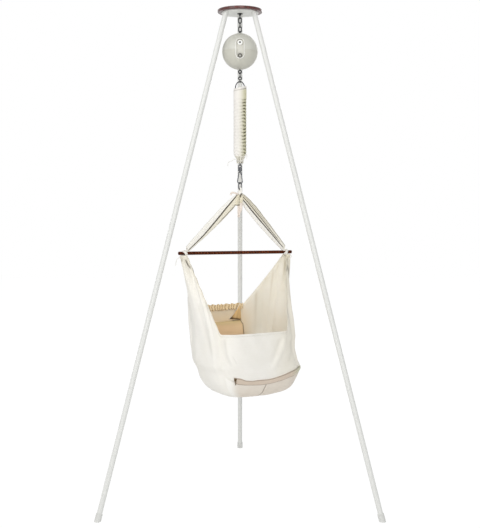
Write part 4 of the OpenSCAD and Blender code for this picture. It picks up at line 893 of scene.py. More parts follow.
class CRADLE_OT_stage(bpy.types.Operator):
    """Camera, floor, world and lamps"""
    bl_idname = "cradle.stage"
    bl_label = "Stage"

    def execute(self, context):
        scene = context.scene
        scene.view_settings.view_transform = "Standard"
        lens = bpy.data.cameras.new("camera")
        lens.sensor_width = SENSOR
        lens.lens = FOCAL / PICTURE_HIGH * SENSOR
        lens.clip_end = 60
        camera = put("camera", lens)
        camera.location = CAMERA_AT
        camera.rotation_euler = (math.radians(90 - CAMERA_DOWN), 0, 0)
        scene.camera = camera

        # White seamless floor: white to the camera and to what mirrors it, with the object's soft shadow left in
        material, tree, place, _ = begin("white_paper_floor")
        share = add(tree, "ShaderNodeMath", {0: seen_plainly(tree), 1: 0.90}, operation="MULTIPLY")
        grain = add(tree, "ShaderNodeTexNoise", {"Vector": place, "Scale": 400.0})
        tone = add(tree, "ShaderNodeMapRange", {"Value": grain.outputs["Fac"], "To Min": 0.985, "To Max": 1.0})
        paper = add(tree, "ShaderNodeBsdfDiffuse", {"Color": tone.outputs[0]})
        glow = add(tree, "ShaderNodeEmission", {"Color": (1, 1, 1, 1), "Strength": 1.05})
        end(tree, add(tree, "ShaderNodeMixShader", {0: share.outputs[0], 1: paper.outputs[0], 2: glow.outputs[0]}))
        floor = piece_from("floor", [(-9, -9, 0), (9, -9, 0), (9, 9, 0), (-9, 9, 0)], [(0, 1, 2, 3)], [material])

        world = bpy.data.worlds.new("studio")
        world.use_nodes = True
        tree = world.node_tree
        tree.nodes.clear()
        soft = add(tree, "ShaderNodeBackground", {"Color": (0.98, 0.99, 1.0, 1), "Strength": 0.58})
        white = add(tree, "ShaderNodeBackground", {"Color": (1, 1, 1, 1), "Strength": 1.0})
        sky = add(tree, "ShaderNodeMixShader", {0: seen_plainly(tree), 1: soft.outputs[0], 2: white.outputs[0]})
        add(tree, "ShaderNodeOutputWorld", {"Surface": sky.outputs[0]})
        scene.world = world

        for name, spot, aim, reach, power in LAMPS:
            lamp = bpy.data.lights.new(name, "AREA")
            lamp.size = reach
            lamp.energy = power
            made = put(name, lamp)
            made.location = spot
            made.rotation_euler = (Vector(aim) - made.location).to_track_quat("-Z", "Y").to_euler()
        return {"FINISHED"}


# Cords: diameter in metres, body, and the points they run through in mm from the suspension axis, as in the solids
CORDS = {
    "cover_cord_left": (0.0025, "spring_foot", [
        (-2, -17, 1463), (-8, -18, 1467), (-15, -18, 1469), (-22, -15, 1471), (-28, -12, 1471), (-33, -10, 1467),
        (-38, -9, 1463), (-43, -9, 1462), (-48, -9, 1460), (-51, -8, 1455), (-52, -8, 1449), (-52, -8, 1443)]),
    "cover_cord_right": (0.0025, "spring_foot", [
        (2, -17, 1463), (8, -19, 1466), (15, -21, 1470), (20, -25, 1476), (21, -29, 1483), (22, -30, 1490),
        (25, -28, 1494), (28, -25, 1491), (29, -24, 1485), (29, -23, 1479), (28, -22, 1474)]),
    "tie_tail_left": (0.003, "hammock", [
        (-238, -124, 1066), (-244, -129, 1063), (-251, -133, 1060), (-258, -136, 1056), (-264, -138, 1050),
        (-267, -139, 1042), (-268, -139, 1034), (-269, -139, 1026)]),
    "tie_tail_right": (0.003, "hammock", [
        (215, 106, 1056), (219, 103, 1055), (225, 102, 1053), (229, 102, 1048), (228, 102, 1042), (223, 102, 1038),
        (218, 102, 1035), (215, 102, 1030), (214, 102, 1024)]),
}


class CRADLE_OT_cords(bpy.types.Operator):
    """Loose ends of the sleeve's drawcord and of the bar's lashings"""
    bl_idname = "cradle.cords"
    bl_label = "Loose cords"

    def execute(self, context):
        for name, (thick, body, points) in CORDS.items():
            path = smooth_path(np.array(points) / 1000 + AXIS, 0.0008)
            made = tube(name + "_rope", path, thick / 2, finish("cord"), sides=18, strands=3, lay=0.009)
            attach(made, body)
            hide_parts(name)
        return {"FINISHED"}


class CRADLE_OT_stand(bpy.types.Operator):
    """Tripod: wooden disc, steel plate, tubes, feet and screws"""
    bl_idname = "cradle.stand"
    bl_label = "Stand"

    def execute(self, context):
        c = colours()
        disc = stained_wood("stained_beech_disc", c.wood, "#65302A", stretch=(0.12, 1.0, 1.0), gloss=0.3)
        finish_nodes(["top_disc"], disc)
        finish_nodes(["top_plate"], powder_coat("powder_coated_plate", c.plate))
        finish_nodes(["leg_left", "leg_right", "leg_rear"], powder_coat("powder_coated_tube", c.tube))
        finish_nodes(["foot_left", "foot_right", "foot_rear"],
                     moulded("grey_rubber", "#D6D6D2", 0.8, 600.0, 0.2))
        finish_nodes(["leg_plugs", "leg_screws", "eye_bolt", "eye_nut"], finish("steel"))
        return {"FINISHED"}


class CRADLE_OT_chain(bpy.types.Operator):
    """Chain links, hooks and eyes between the stand and the spring"""
    bl_idname = "cradle.chain"
    bl_label = "Chain and hooks"

    def execute(self, context):
        finish_nodes(["chain_link_1", "chain_link_2", "chain_link_3", "chain_link_4", "hanger_eye", "pull_hook",
                      "spring_top_hook", "spring_bottom_hook"], finish("steel"))
        finish_nodes(["swivel_eye", "carabiner", "carabiner_gate", "gate_pin", "oval_link"], finish("bright"))
        return {"FINISHED"}


class CRADLE_OT_motor(bpy.types.Operator):
    """Ball of the rocking motor, its panel, button and dial, and what is inside"""
    bl_idname = "cradle.motor"
    bl_label = "Rocking motor"

    def execute(self, context):
        c = colours()
        finish_nodes(["shell_upper"], moulded("moulded_upper_shell", c.ball, 0.42))
        # The lower shell's darker colour is painted shade
        finish_nodes(["shell_lower"], moulded("moulded_lower_shell", c.ball_low, 0.42))
        # The panel's border stands proud of its floor; the floor's darker colour is painted shade in the recess
        finish_nodes(["control_panel"], moulded("moulded_panel", "#C9C7BC", 0.38, middle=BALL_MID, near=0.0735,
                                                far=0.0765, outer="#F2F1EB"))
        # The dial darkens towards its rim: painted shade of the groove round it
        finish_nodes(["speed_dial"], moulded("grey_speed_dial", "#B9B8B0", 0.35, middle=BALL_MID
                                             + 0.078 * DIAL_WAY, near=0.0030, far=0.0046, outer="#5E5C56"))
        finish_nodes(["power_button"], moulded("gloss_white_button", "#F6F6F2", 0.2, 900, 0.03))
        black = moulded("black_plastic", "#161616", 0.25, 900, 0.04)
        finish_nodes(["power_lens", "dc_inlet"], black)
        low, high = (np.array(corner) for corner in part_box("power_lens"))
        dome = turned("power_lamp", (low + high) / 2, BUTTON_WAY, [
            (0.0034 - 0.0040 * (1 - math.cos(a)), 0.0044 * math.sin(a)) for a in np.linspace(0.08, 1.57, 12)], black)
        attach(dome, "button")
        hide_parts("power_lens")
        finish_nodes(["winch_drum", "hook_guide"], moulded("natural_nylon", "#EDEDE6", 0.4, 500, 0.06))
        finish_nodes(["pull_belt"], woven("black_webbing", "#1A1A1A", "#101010", 0.0012, 0.5, False))
        finish_nodes(["circuit_board"], moulded("green_solder_mask", "#2F6B46", 0.35, 300, 0.08))
        finish_nodes(["hanger_nut", "chassis", "drive_motor", "gearbox", "shell_screws"], finish("steel"))
        return {"FINISHED"}


def round_points(radius, angle, z):
    """Points about the upright axis."""
    return np.stack(np.broadcast_arrays(radius * np.cos(angle), radius * np.sin(angle), z), -1)


def coil_path():
    """Points of the spring's wire: a loop over the middle at the top, the coil, and a cone of two turns below."""
    turns, cone = 26, 2
    t = np.linspace(cone, turns, (turns - cone) * 24 + 1)
    radius = CONE_END_R + (COIL_R - CONE_END_R) * ease((turns - t) / cone)
    straight = COIL_TOP - (COIL_TOP - COIL_LOW) * (t - cone) / (turns - 2 * cone)
    z = np.where(t > turns - cone, COIL_LOW - CONE_H * (t - turns + cone) / cone, straight)
    coil = round_points(radius, 2 * math.pi * t, z)
    a = np.linspace(math.pi, 0, 40)
    loop = np.stack([0.0195 * np.cos(a), -0.0048 * np.sin(a), COIL_TOP + CONE_H * np.sin(a)], 1)
    tail = np.array([[-0.0200, 0.0030, COIL_TOP - 0.0055], [-0.0198, 0.0008, COIL_TOP - 0.0025]])
    return np.concatenate([tail, loop[:-1], coil]) + AXIS


def stretch_with_spring(piece):
    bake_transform(piece)


def sleeve_shape():
    """Rows of points of the sleeve from its hem down to its drawn-in foot, with its creases and gathers."""
    deep = sizes().ruche
    a = whole_turn(112)[None]
    s = np.concatenate([[0, 0.0035, 0.030, 0.0345], np.linspace(0.040, 1, 290)])[:, None]
    start = ease((s - 0.14) / 0.08)
    drift = 0.55 * np.sin(a + 1.2 + 3 * s) + 0.3 * np.sin(2 * a - 7 * s) + 0.25 * np.sin(5 * a + 11 * s + 2.0)
    phase = math.pi * (21 * s + 0.42 * drift)
    valley = 1 - np.abs(np.sin(phase))
    second = 1 - np.abs(np.sin(2.03 * phase + 1.1 + 0.8 * np.sin(3 * a)))
    # The gathers are deepest on the right
    right = np.exp(-((np.degrees(a) + 180 + 34) % 360 - 180) ** 2 / 38.0 ** 2)
    sink = start * (deep * (0.22 + 0.78 * right) * valley + 0.0009 * second * (0.4 + right))
    out = SLEEVE_R - 0.0002 - np.minimum(sink, deep) + 0.0003 * np.sin(3 * a + 9 * s) * (1 - start)
    out = out - 0.0008 * bell((s - 0.036) / 0.003) - 0.0012 * bell(s / 0.004)
    out = out - 0.0030 * ease((s - 0.965) / 0.035)
    hem = 0.0065 * np.cos(a - math.radians(20))
    z = SLEEVE_TOP + (SLEEVE_LOW - SLEEVE_TOP) * s + hem * (1 - ease(s * 5))
    main = round_points(out, a, z)
    # Painted shade in the gathers' valleys and under the hem, strongest on the right side away from the light, where
    # the cloth also takes the olive shading tint
    speckle = 0.62 + 0.45 * np.sin(7 * a + 61 * s + 1) * np.sin(4 * a - 83 * s)
    crease = start * (0.10 + 1.6 * right ** 1.5) * valley ** 1.15 * speckle + 0.5 * start * right * second ** 2
    crease = crease + (0.45 + 0.4 * right) * bell((s - 0.036) / 0.005)
    bunched = right ** 0.7 * ease((s - 0.02) / 0.04) + 0 * a
    # The foot of the sleeve is drawn in to a pleated neck and a short flared tail
    foot = through([[0.0, 0.0246, 0.0], [0.004, 0.0215, 0.0006], [0.008, 0.0175, 0.0016], [0.012, 0.0148, 0.0018],
                    [0.016, 0.0135, 0.0018], [0.020, 0.0130, 0.0016], [0.0235, 0.0127, 0.0013],
                    [0.027, 0.0131, 0.0016], [0.030, 0.0138, 0.0018]], np.linspace(0, 8, 42))[1:]
    pleat = np.cos(9 * a + 1.3 * np.sin(2 * a))
    reach = foot[:, 1, None] + foot[:, 2, None] * pleat
    down = foot[:, 0, None]
    low = round_points(reach, a, SLEEVE_LOW - down - 0.0016 * np.sin(2 * a + 0.4) * ease(down / 0.03))
    # Painted shade in the neck's pleats
    pleats = ease(down / 0.012) * (0.5 - 0.5 * pleat) ** 2 * 0.6
    crease, bunched = np.concatenate([crease, pleats]), np.concatenate([bunched, 0.35 + 0 * pleats])
    grid = np.concatenate([main, low]) + AXIS
    return grid, crease, bunched


class CRADLE_OT_spring(bpy.types.Operator):
    """Coil spring and the gathered sleeve over it"""
    bl_idname = "cradle.spring"
    bl_label = "Spring and sleeve"

    def execute(self, context):
        coil = grown("coil_spring", [coil_path()], "wire", Radius=sizes().coil_wire / 2, Sides=10,
                     Finish=finish("steel"))
        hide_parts("spring")
        stretch_with_spring(coil)
        # Ring that the loop hangs in, with its short shank
        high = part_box("spring_top_hook")[1]
        mid = AXIS + [0, 0, high[2] - 0.0085]
        turn = np.linspace(0, 2 * math.pi, 61)
        ring = np.stack([0.0065 * np.cos(turn), 0 * turn, 0.0065 * np.sin(turn)], 1) + mid
        ring = grown("top_ring", [ring], "wire", Radius=0.002, Sides=14, Finish=finish("steel"))
        shank = turned("top_shank", mid, [0, 0, 1.0], [(-0.0066, 0.0022), (-0.012, 0.0025), (-0.015, 0.0030),
                                                      (-0.018, 0.0030), (-0.0186, 0.0022)], finish("steel"), 24)
        ring = join([ring, shank], "spring_top_ring")
        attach(ring, "spring_top")
        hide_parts("spring_top_hook")

        grid, crease, bunched = sleeve_shape()
        sleeve = cloth_skin("spring_sleeve", grid, [finish("sleeve")], 0.0011, closed=True, crease=crease,
                            bunched=bunched)
        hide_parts("spring_cover")
        stretch_with_spring(sleeve)

        turn = np.linspace(0, 2 * math.pi, 90)
        ring = round_points(DRAWCORD_R, turn, DRAWCORD_Z + 0.0012 * np.sin(turn)) + AXIS
        cord = grown("sleeve_drawcord", [ring, ring + [0, 0, 0.0026]], "wire", Radius=0.0013, Sides=10,
                     Finish=finish("cord"))
        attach(cord, "spring_foot")
        return {"FINISHED"}


def pleated_ring(name, middle, along, up, reach, width, thick, pleats, material):
    """A folded band of cloth wound round something: reach is its two half sizes, pleats cut its width."""
    turn = whole_turn(96)
    along, up = unit(along), unit(up)
    across = unit(np.cross(along, up))
    skin = whole_turn(40)
    face = 1 - sum(deep * bell((np.cos(skin) - spot) / wide) for spot, wide, deep in pleats) * (
        np.sin(skin) > 0)
    out = np.sin(skin) * face * thick / 2
    flat = np.sign(np.cos(skin)) * np.abs(np.cos(skin)) ** 0.8 * width / 2
    rows = []
    for t in turn:
        way = up * math.cos(t) * reach[1] + along * math.sin(t) * reach[0]
        norm = unit(up * math.cos(t) / reach[1] + along * math.sin(t) / reach[0])
        swell = 1 + 0.08 * math.sin(3 * t + 1)
        rows.append(middle + way + norm * out[:, None] * swell + across * flat[:, None] * swell)
    grid = np.array(rows + rows[:1])
    return surface(name, grid, [material], closed=True)


def knot_body(top, along, materials):
    """The knot's bundle of folds under the link."""
    level = np.array([-along[1], along[0], 0])
    a = whole_turn(96)
    # Offset below the link, middle in X and Y, half length, half width
    rows = through([[6, 0, 0, 10.5, 6.5], [13, 0, 0, 12.0, 8], [20, 0, 0, 14.5, 10.5], [29, 0, 0, 16.0, 11.5],
                    [38, 0, -1, 15.5, 11], [48, 0, -2, 14.5, 10], [56, 0, -3, 11, 8], [62, 0, -5, 6, 5]],
                   np.linspace(0, 7, 120)) / 1000
    grid = []
    for d, x, y, w, t in rows:
        r = 0.82 + 0.18 * np.abs(np.sin(3.5 * a + 28 * d + 1.4 * np.sin(2 * a))) ** 0.45
        grid.append(top + [x, y, -d] + along * (w * np.cos(a) * r)[:, None] + level * (t * np.sin(a) * r)[:, None])
    grid = np.array(grid)
    # A hollow between the two sides, as a narrow V, and the creases that run out of it, both darkened with painted
    # shade
    x, front, d = grid[..., 0], grid[..., 1] < AXIS[1], top[2] - grid[..., 2]
    hollow = bell((x - 0.0066 + 0.42 * (d - 0.018)) / (0.0036 - 0.05 * np.clip(d - 0.018, 0, 0.04)))
    hollow = hollow * front * ease((d - 0.014) / 0.005) * (1 - 0.75 * ease((d - 0.032) / 0.006))
    hollow = hollow * (1 - ease((d - 0.046) / 0.006))
    lines = sum(strength * bell((x - x0 - slope * (d - 0.020)) / 0.0014)
                for x0, slope, strength in ((-0.0060, -0.22, 0.6), (-0.0105, -0.42, 0.45), (0.0095, 0.30, 0.5)))
    grid = grid + np.array([0, 0.0035, 0]) * hollow[..., None]
    # The lower knot takes the painted warm shading tint
    return surface("knot_body", grid, materials, closed=True, cap_first=True, cap_last=True,
                   crease=1.1 * hollow + 0.7 * lines * front * ease((d - 0.014) / 0.01),
                   bunched=0.85 * ease((d - 0.016) / 0.012))


def folded(name, top, rows, material, creases, edge, depth, warm_shade):
    """A flat fold of cloth that hangs in front: creases of painted shade run down it, one crosses it at its edge, and
    it takes a share of painted warm shade.
    """
    a = whole_turn(72)
    across = np.sign(np.cos(a)) * np.abs(np.cos(a)) ** 0.8
    cut = sum(strong * bell((across - at) / wide) for at, wide, strong in creases)
    grid, marks = [], []
    for d, x, y, w, t in through(rows, np.linspace(0, len(rows) - 1, 60)) / 1000:
        out = t * np.sin(a) * (1 - 0.5 * cut * (np.sin(a) < 0))
        grid.append(top + np.stack([x + w * across, y + out, -d - 0.0006 * np.sin(5 * across)], -1))
        marks.append((cut + depth * bell((d - edge) / 0.0016)) * (np.sin(a) < 0.2))
    return surface(name, grid, [material], closed=True, cap_first=True, cap_last=True, crease=marks, bunched=warm_shade)


class CRADLE_OT_knot(bpy.types.Operator):
    """Knot of the carrying cloth round the oval link, with its loop, wraps and hanging end"""
    bl_idname = "cradle.knot"
    bl_label = "Knot"

    def execute(self, context):
        cotton, tail_cloth = finish("strap"), finish("tail")
        # The loop stands across the oval link's plane
        along = np.array([math.sin(LINK_YAW), -math.cos(LINK_YAW), 0])
        top = AXIS + [0, 0, LINK_LOW]
        body = knot_body(top, along, [cotton, tail_cloth])
        # Loop over the link
        steps = np.radians(np.linspace(180, 0, 25))
        arch = [along * 0.0065 * math.cos(t) + np.array([0, 0, 0.0065 * math.sin(t)]) for t in steps]
        path = np.array([arch[0] - [0, 0, 0.014], arch[0] - [0, 0, 0.007]] + arch
                        + [arch[-1] - [0, 0, 0.007], arch[-1] - [0, 0, 0.014]]) + top
        loop = tube("knot_loop", path, 0.0039, cotton, sides=24, strands=4, lay=0.05)
        # Flap over the left side, with its turned lower edge, and the hanging end below it.
        # Each row: offset below the link, middle in X and Y, half width, half thickness
        flap = folded("knot_flap", top, [
            [24, -6, -10, 5, 4], [32, -9, -12, 8.5, 4.5], [44, -12.5, -14, 12, 4.5], [56, -15.5, -15, 15, 4],
            [64, -16.5, -15.5, 15.5, 3.5], [67.5, -16, -15.5, 15, 3], [69, -15, -15.5, 13.5, 1.2]], cotton,
            [(0.75, 0.10, 0.8), (0.30, 0.08, 0.45), (-0.30, 0.08, 0.3)], 0.0670, 1.0, 0.9)
        tail = folded("knot_tail", top, [
            [58, 0, -9, 10, 4], [70, 0, -10, 11, 3.5], [84, -0.5, -11, 10.5, 3], [95, -2.8, -12, 8, 2.8],
            [106, -4.8, -13, 5.8, 2.4], [117, -5.5, -12, 5, 2.2], [119.5, -5.5, -12, 4.4, 1.4]], tail_cloth,
            [(-0.35, 0.16, 0.3)], 0.113, 0.3, 0.0)
        end_path = smooth_path([top + np.array(p) / 1000 for p in (
            (-8, -12, -20), (-20, -17, -16), (-31, -20, -13), (-38, -21, -17), (-40, -21, -24))], 0.002)
        short = tube("knot_short_end", end_path, 0.0040, tail_cloth, sides=24, strands=3, lay=0.05)
        knot = join([body, loop, flap, tail, short], "carrying_knot")
        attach(knot, "hammock")
        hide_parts("strap_knot")
        return {"FINISHED"}


def join(parts, name):
    """Puts several skins of one piece into one object."""
    for part in bpy.context.selected_objects:
        part.select_set(False)
    for part in parts:
        part.select_set(True)
    bpy.context.view_layer.objects.active = parts[0]
    bpy.ops.object.join()
    parts[0].name = name
    parts[0].data.name = name
    parts[0].select_set(False)
    return parts[0]


# Carrying straps: tie, half width, and the folds on the seen side, each as places across it at FOLD_STEPS of the way
# down, width, depth (which also sets its painted shade) and reach; last, the two places between which the cloth takes
# the painted warm shade
FOLD_STEPS = [0, 0.12, 0.47, 0.7, 1.0]
STRAP_FOLDS = {
    "strap_left": (TIE_LEFT, 0.0215, [([0.75, 0.40, -0.08, -0.40, -0.50], 0.12, 0.95, 1.0),
                                      ([-0.6, -0.80, -0.80, -0.80, -0.80], 0.08, 0.60, 0.35)],
                   [-2.0] * 5, [0.65, 0.30, -0.18, -0.48, -0.58]),
    "strap_right": (TIE_RIGHT, 0.0235, [([-0.55, -0.30, -0.20, -0.16, -0.20], 0.10, 0.95, 1.0),
                                        ([0.05, 0.18, 0.22, 0.20, 0.20], 0.075, 0.80, 0.75),
                                        ([0.84, 0.84, 0.82, 0.80, 0.78], 0.065, 0.55, 1.0),
                                        ([0.50, 0.50, 0.50, 0.50, 0.50], 0.050, 0.40, 0.5)],
                    [-0.50, -0.22, -0.14, -0.10, -0.14], [2.0] * 5),
}


def strap_shape(tie, half, folds, warm_shade_low, warm_shade_high):
    """Rows of points of one side of the carrying cloth, its crease shade, its share of painted warm shade, and if it
    is to be flipped.
    """
    flat_way = np.array([tie[0] - AXIS[0], tie[1] - AXIS[1], 0])
    top = AXIS + [0, 0, LINK_LOW - 0.026] + 0.004 * unit(flat_way)
    low = tie + [0, 0, BAR_R + 0.0004]
    run = unit(low - top)
    level = unit(np.cross(run, [0, 0, 1]))
    up = np.cross(level, run)
    faces_front = level[1] < 0
    face_way = level if faces_front else -level
    # Share of the way, half width share, half thickness
    shape = through([[0, 0.50, 7.5], [0.05, 0.68, 8.5], [0.1, 0.82, 9], [0.18, 0.95, 9], [0.3, 1.0, 8.5],
                     [0.5, 0.94, 8], [0.7, 0.80, 7.5], [0.85, 0.66, 7], [0.94, 0.55, 7], [1.0, 0.50, 6.5]],
                    np.linspace(0, 9, 150))
    w = whole_turn(120)
    across, outer = np.cos(w), np.sin(w)
    skin = np.abs(outer) ** 0.62 * np.sign(outer)
    grid, dark, warm_shade = [], [], []
    for t, share, thick in shape:
        cut, marks = np.ones_like(w), np.zeros_like(w)
        for places, wide, deep, reach in folds:
            at = np.interp(t, FOLD_STEPS, places)
            fade = 1 - ease((t - reach) / 0.15) if reach < 1 else 1.0
            strength = deep * fade * ease(t / 0.03)
            front = bell((across - at) / wide) * (outer > 0)
            back = bell((across + at * 0.8) / wide) * (outer <= 0)
            cut = cut * (1 - strength * front) * (1 - 0.6 * strength * back)
            marks = marks + 1.3 * strength * front
        dark.append(marks * ease((1.02 - t) / 0.12))
        first, last = (np.interp(t, FOLD_STEPS, places) for places in (warm_shade_low, warm_shade_high))
        warm_shade.append((0.75 - 0.5 * t) * ease((across - first) / 0.12) * (1 - ease((across - last) / 0.12)))
        ripple = 0.02 * math.sin(23 * t + 1) + 0.015 * math.sin(57 * t)
        middle = top * (1 - t) + low * t - [0, 0, 0.002 * math.sin(math.pi * t)]
        width_way = up if t < 0.94 else unit(up * (1 - ease((t - 0.94) / 0.06))
                                             + np.sign(-tie[0]) * BAR_DIR * ease((t - 0.94) / 0.06))
        grid.append(middle + width_way * (half * share * (across + ripple * across ** 2))[:, None]
                    + face_way * (thick / 1000 * skin * cut)[:, None])
    return grid, dark, warm_shade, faces_front


class CRADLE_OT_straps(bpy.types.Operator):
    """Two sides of the carrying cloth, from the knot to the bar"""
    bl_idname = "cradle.straps"
    bl_label = "Carrying straps"

    def execute(self, context):
        for name, (tie, half, folds, warm_shade_low, warm_shade_high) in STRAP_FOLDS.items():
            grid, dark, warm_shade, flip = strap_shape(tie, half, folds, warm_shade_low, warm_shade_high)
            # Rows run from the knot down; columns run anticlockwise round the run when seen from the knot
            made = surface(name + "_cloth", grid, [finish("strap")], closed=True, cap_first=True, cap_last=True,
                           flip=flip, crease=dark, bunched=warm_shade)
            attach(made, "hammock")
            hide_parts(name)
        return {"FINISHED"}


class CRADLE_OT_bar(bpy.types.Operator):
    """Wooden spreader bar with the cloth's wraps and the cord lashings at its ends"""
    bl_idname = "cradle.bar"
    bl_label = "Spreader bar and lashings"

    def execute(self, context):
        c = colours()
        grain = stained_wood("stained_beech_bar", "#401A0A", c.bar, turn=(0, 0, -BAR_YAW),
                             stretch=(0.10, 1.0, 1.0), gloss=0.5, coat=0.0, shine=0.08)
        finish_nodes(["spreader_bar"], grain)
        level = np.array([-math.sin(BAR_YAW), math.cos(BAR_YAW), 0])
        up = np.cross(BAR_DIR, level)
        for side, tie, name in ((-1, TIE_LEFT, "left"), (1, TIE_RIGHT, "right")):
            # Cloth that wraps the bar on its way down: a pleated band at a slant
            slant = unit(BAR_DIR * 0.62 * side + up * 0.78)
            cloth = pleated_ring(f"bar_wrap_{name}", tie, -level, slant, (BAR_R + 0.0028, BAR_R + 0.0046),
                                 0.0105, 0.0050, [(0.3, 0.14, 0.7), (-0.35, 0.14, 0.7)], finish("cotton"))
            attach(cloth, "hammock")
            # Cord wound over it: a long loop round the bar and the gathered cloth under it
            turns, half = 3, 0.0088
            t = np.linspace(0, turns, turns * 40 + 1)
            angle = 2 * math.pi * t
            drop = 0.0058 * (1 - np.cos(angle)) / 2
            x = (t / turns - 0.5) * 0.012
            path = (tie + x[:, None] * BAR_DIR + (half * np.sin(angle))[:, None] * level
                    + (half * np.cos(angle) - drop)[:, None] * up)
            lashing = grown(f"lashing_{name}", [path], "wire", Radius=sizes().tie_cord / 2, Sides=10,
                            Finish=finish("cord"))
            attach(lashing, "hammock")
            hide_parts(f"bar_tie_{name}")
        return {"FINISHED"}


class CRADLE_OT_cloth(bpy.types.Operator):
    """Hanging cloth of the cradle, gathered at both ends of the bar, and the stitches along its hems"""
    bl_idname = "cradle.cloth"
    bl_label = "Cradle cloth"

    def execute(self, context):
        angles, grid, down = cloth_grid()
        grid, crease, bunched = drape(angles, grid, down)
        cloth = cloth_skin("hanging_cloth", grid, [finish("cotton"), finish("lining")], sizes().cloth, closed=True,
                           cap_last=True, crease=crease, bunched=bunched)
        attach(cloth, "hammock")
        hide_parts("cradle_cloth")

        face = outward(grid)
        row = 2
        line = grid[row] * 0.72 + grid[1] * 0.28 + face[row] * 0.0008
        _, turn = from_ends(angles)
        rear = np.where((angles < 180) & (np.abs(turn) > END_TURN + 2))[0]
        front = np.where((angles > 180) & (angles < 360) & (np.abs(turn) > END_TURN + 2))[0]
        stitches = grown("hem_stitches", [line[rear], line[front]], "stitch",
                         facing=[face[row][rear], face[row][front]], Pitch=sizes().stitch,
                         Size=(0.0008, 0.0009, 0.0030), Finish=finish("thread"))
        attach(stitches, "hammock")
        return {"FINISHED"}


def inner_wall(degrees, z, gap):
    """A point inside the rear wall of the cradle, that far from the cloth's outer face."""
    degrees, z = np.broadcast_arrays(np.asarray(degrees, float), np.asarray(z, float))
    above = np.clip((z - LEVELS[0][0]) / (REAR_RIM - LEVELS[0][0]), 0, 1)
    shift, a, b = (np.interp(-z, -_dense[:, 0], _dense[:, k]) * (1 - above) + rim * above
                   for k, rim in ((1, RIM_SHIFT), (2, HALF_LENGTH), (3, HALF_WIDTH)))
    c, s = round_box(degrees)
    return place(shift + (a - gap) * c, (b - gap) * s, z)


def band_shape():
    """Rows of points of the lining band, with the painted shade of its creases and the painted warm shade under its
    upper edge.
    """
    low = 0.560
    k = np.concatenate([[0, 0.004, 0.012, 0.024, 0.04], np.linspace(0.06, 1, 36)])[:, None]
    t = np.concatenate([np.linspace(0, 0.06, 9), np.linspace(0.075, 1, 60)])[None]
    # The band ends on a slant at the right: angle of its end at each height
    top = np.interp(t, [0, 0.2, 0.35, 1], [0.7535, 0.7505, 0.749, 0.746])
    z = top - (top - low) * k
    right = np.interp(z, [low, 0.6845, 0.731, 0.7535], [73.0, 73.8, 76.0, 80.3])
    angle = np.interp(girth(right) * (1 - t) + girth(122) * t, _girth, _turns)
    roll = np.sqrt(1 - (1 - np.clip((top - z) / 0.011, 0, 1)) ** 2)
    end = np.sqrt(1 - (1 - np.clip(t / 0.05, 0, 1)) ** 2)
    puff = 0.0018 * np.sin(math.pi * np.clip((top - z) / 0.10, 0, 1)) + 0.0007 * np.sin(0.45 * angle + 40 * z)
    grid = inner_wall(angle, z, 0.0022 + (0.0075 + puff) * roll * end)
    crease = 0.95 * bell(t / 0.022) * ease(k / 0.03) + 0.55 * bell((top - z) / 0.0022) * (t < 0.2)
    crease = crease + 0.12 * bell((top - z) / 0.003)
    bunched = 0.9 * bell((top - z) / 0.016)
    return grid, crease, bunched


def tuck_shape():
    """Rows of points of the tuck, a pointed fold from the rim down to the band, the painted shade of its creases and
    tip, and the line of its edge, where a lighter cord paints its highlight.
    """
    down = np.linspace(0, 1, 26)[:, None]
    across = np.linspace(0, 1, 22)[None]
    edge_a = 82.0 + (89.25 - 82.0) * down
    edge_z = 0.827 + (0.760 - 0.827) * down
    wall_a = 81.4 + (80.0 - 81.4) * down
    wall_z = 0.827 + (0.7540 - 0.827) * down
    angle = edge_a * (1 - across) + wall_a * across
    z = edge_z * (1 - across) + wall_z * across
    stand = 0.0040 + (0.0090 * np.sin(math.pi * np.clip(across * 0.9 + 0.08, 0, 1)) + 0.0012) * down ** 0.8
    grid = inner_wall(angle, z, stand)
    crease = 0.9 * bell((1 - down) / 0.07) + 0.75 * bell(np.hypot(across * 1.3, 1 - down) / 0.22)
    crease = crease + 0.25 * bell((across - 0.45) / 0.12) * down
    edge = inner_wall(edge_a[:, 0], edge_z[:, 0], 0.0062)
    return grid, crease, edge


class CRADLE_OT_lining(bpy.types.Operator):
    """Padded lining band inside the rear wall, and the tuck where it meets the right end"""
    bl_idname = "cradle.lining"
    bl_label = "Lining band and tuck"

    def execute(self, context):
        grid, crease, bunched = band_shape()
        band = cloth_skin("lining_band", grid, [finish("band")], 0.0012, flip=True, crease=crease, bunched=bunched)
        grid, crease, edge = tuck_shape()
        tuck = cloth_skin("lining_tuck", grid, [finish("tuck")], 0.0014, flip=True, crease=crease)
        # A cord of lighter cotton along the tuck's edge is a painted highlight where the fold catches the light
        piping = grown("tuck_edge_highlight", [edge], "wire", Radius=0.0011, Sides=10, Finish=finish("cotton"))
        for part in (band, tuck, piping):
            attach(part, "hammock")
        return {"FINISHED"}


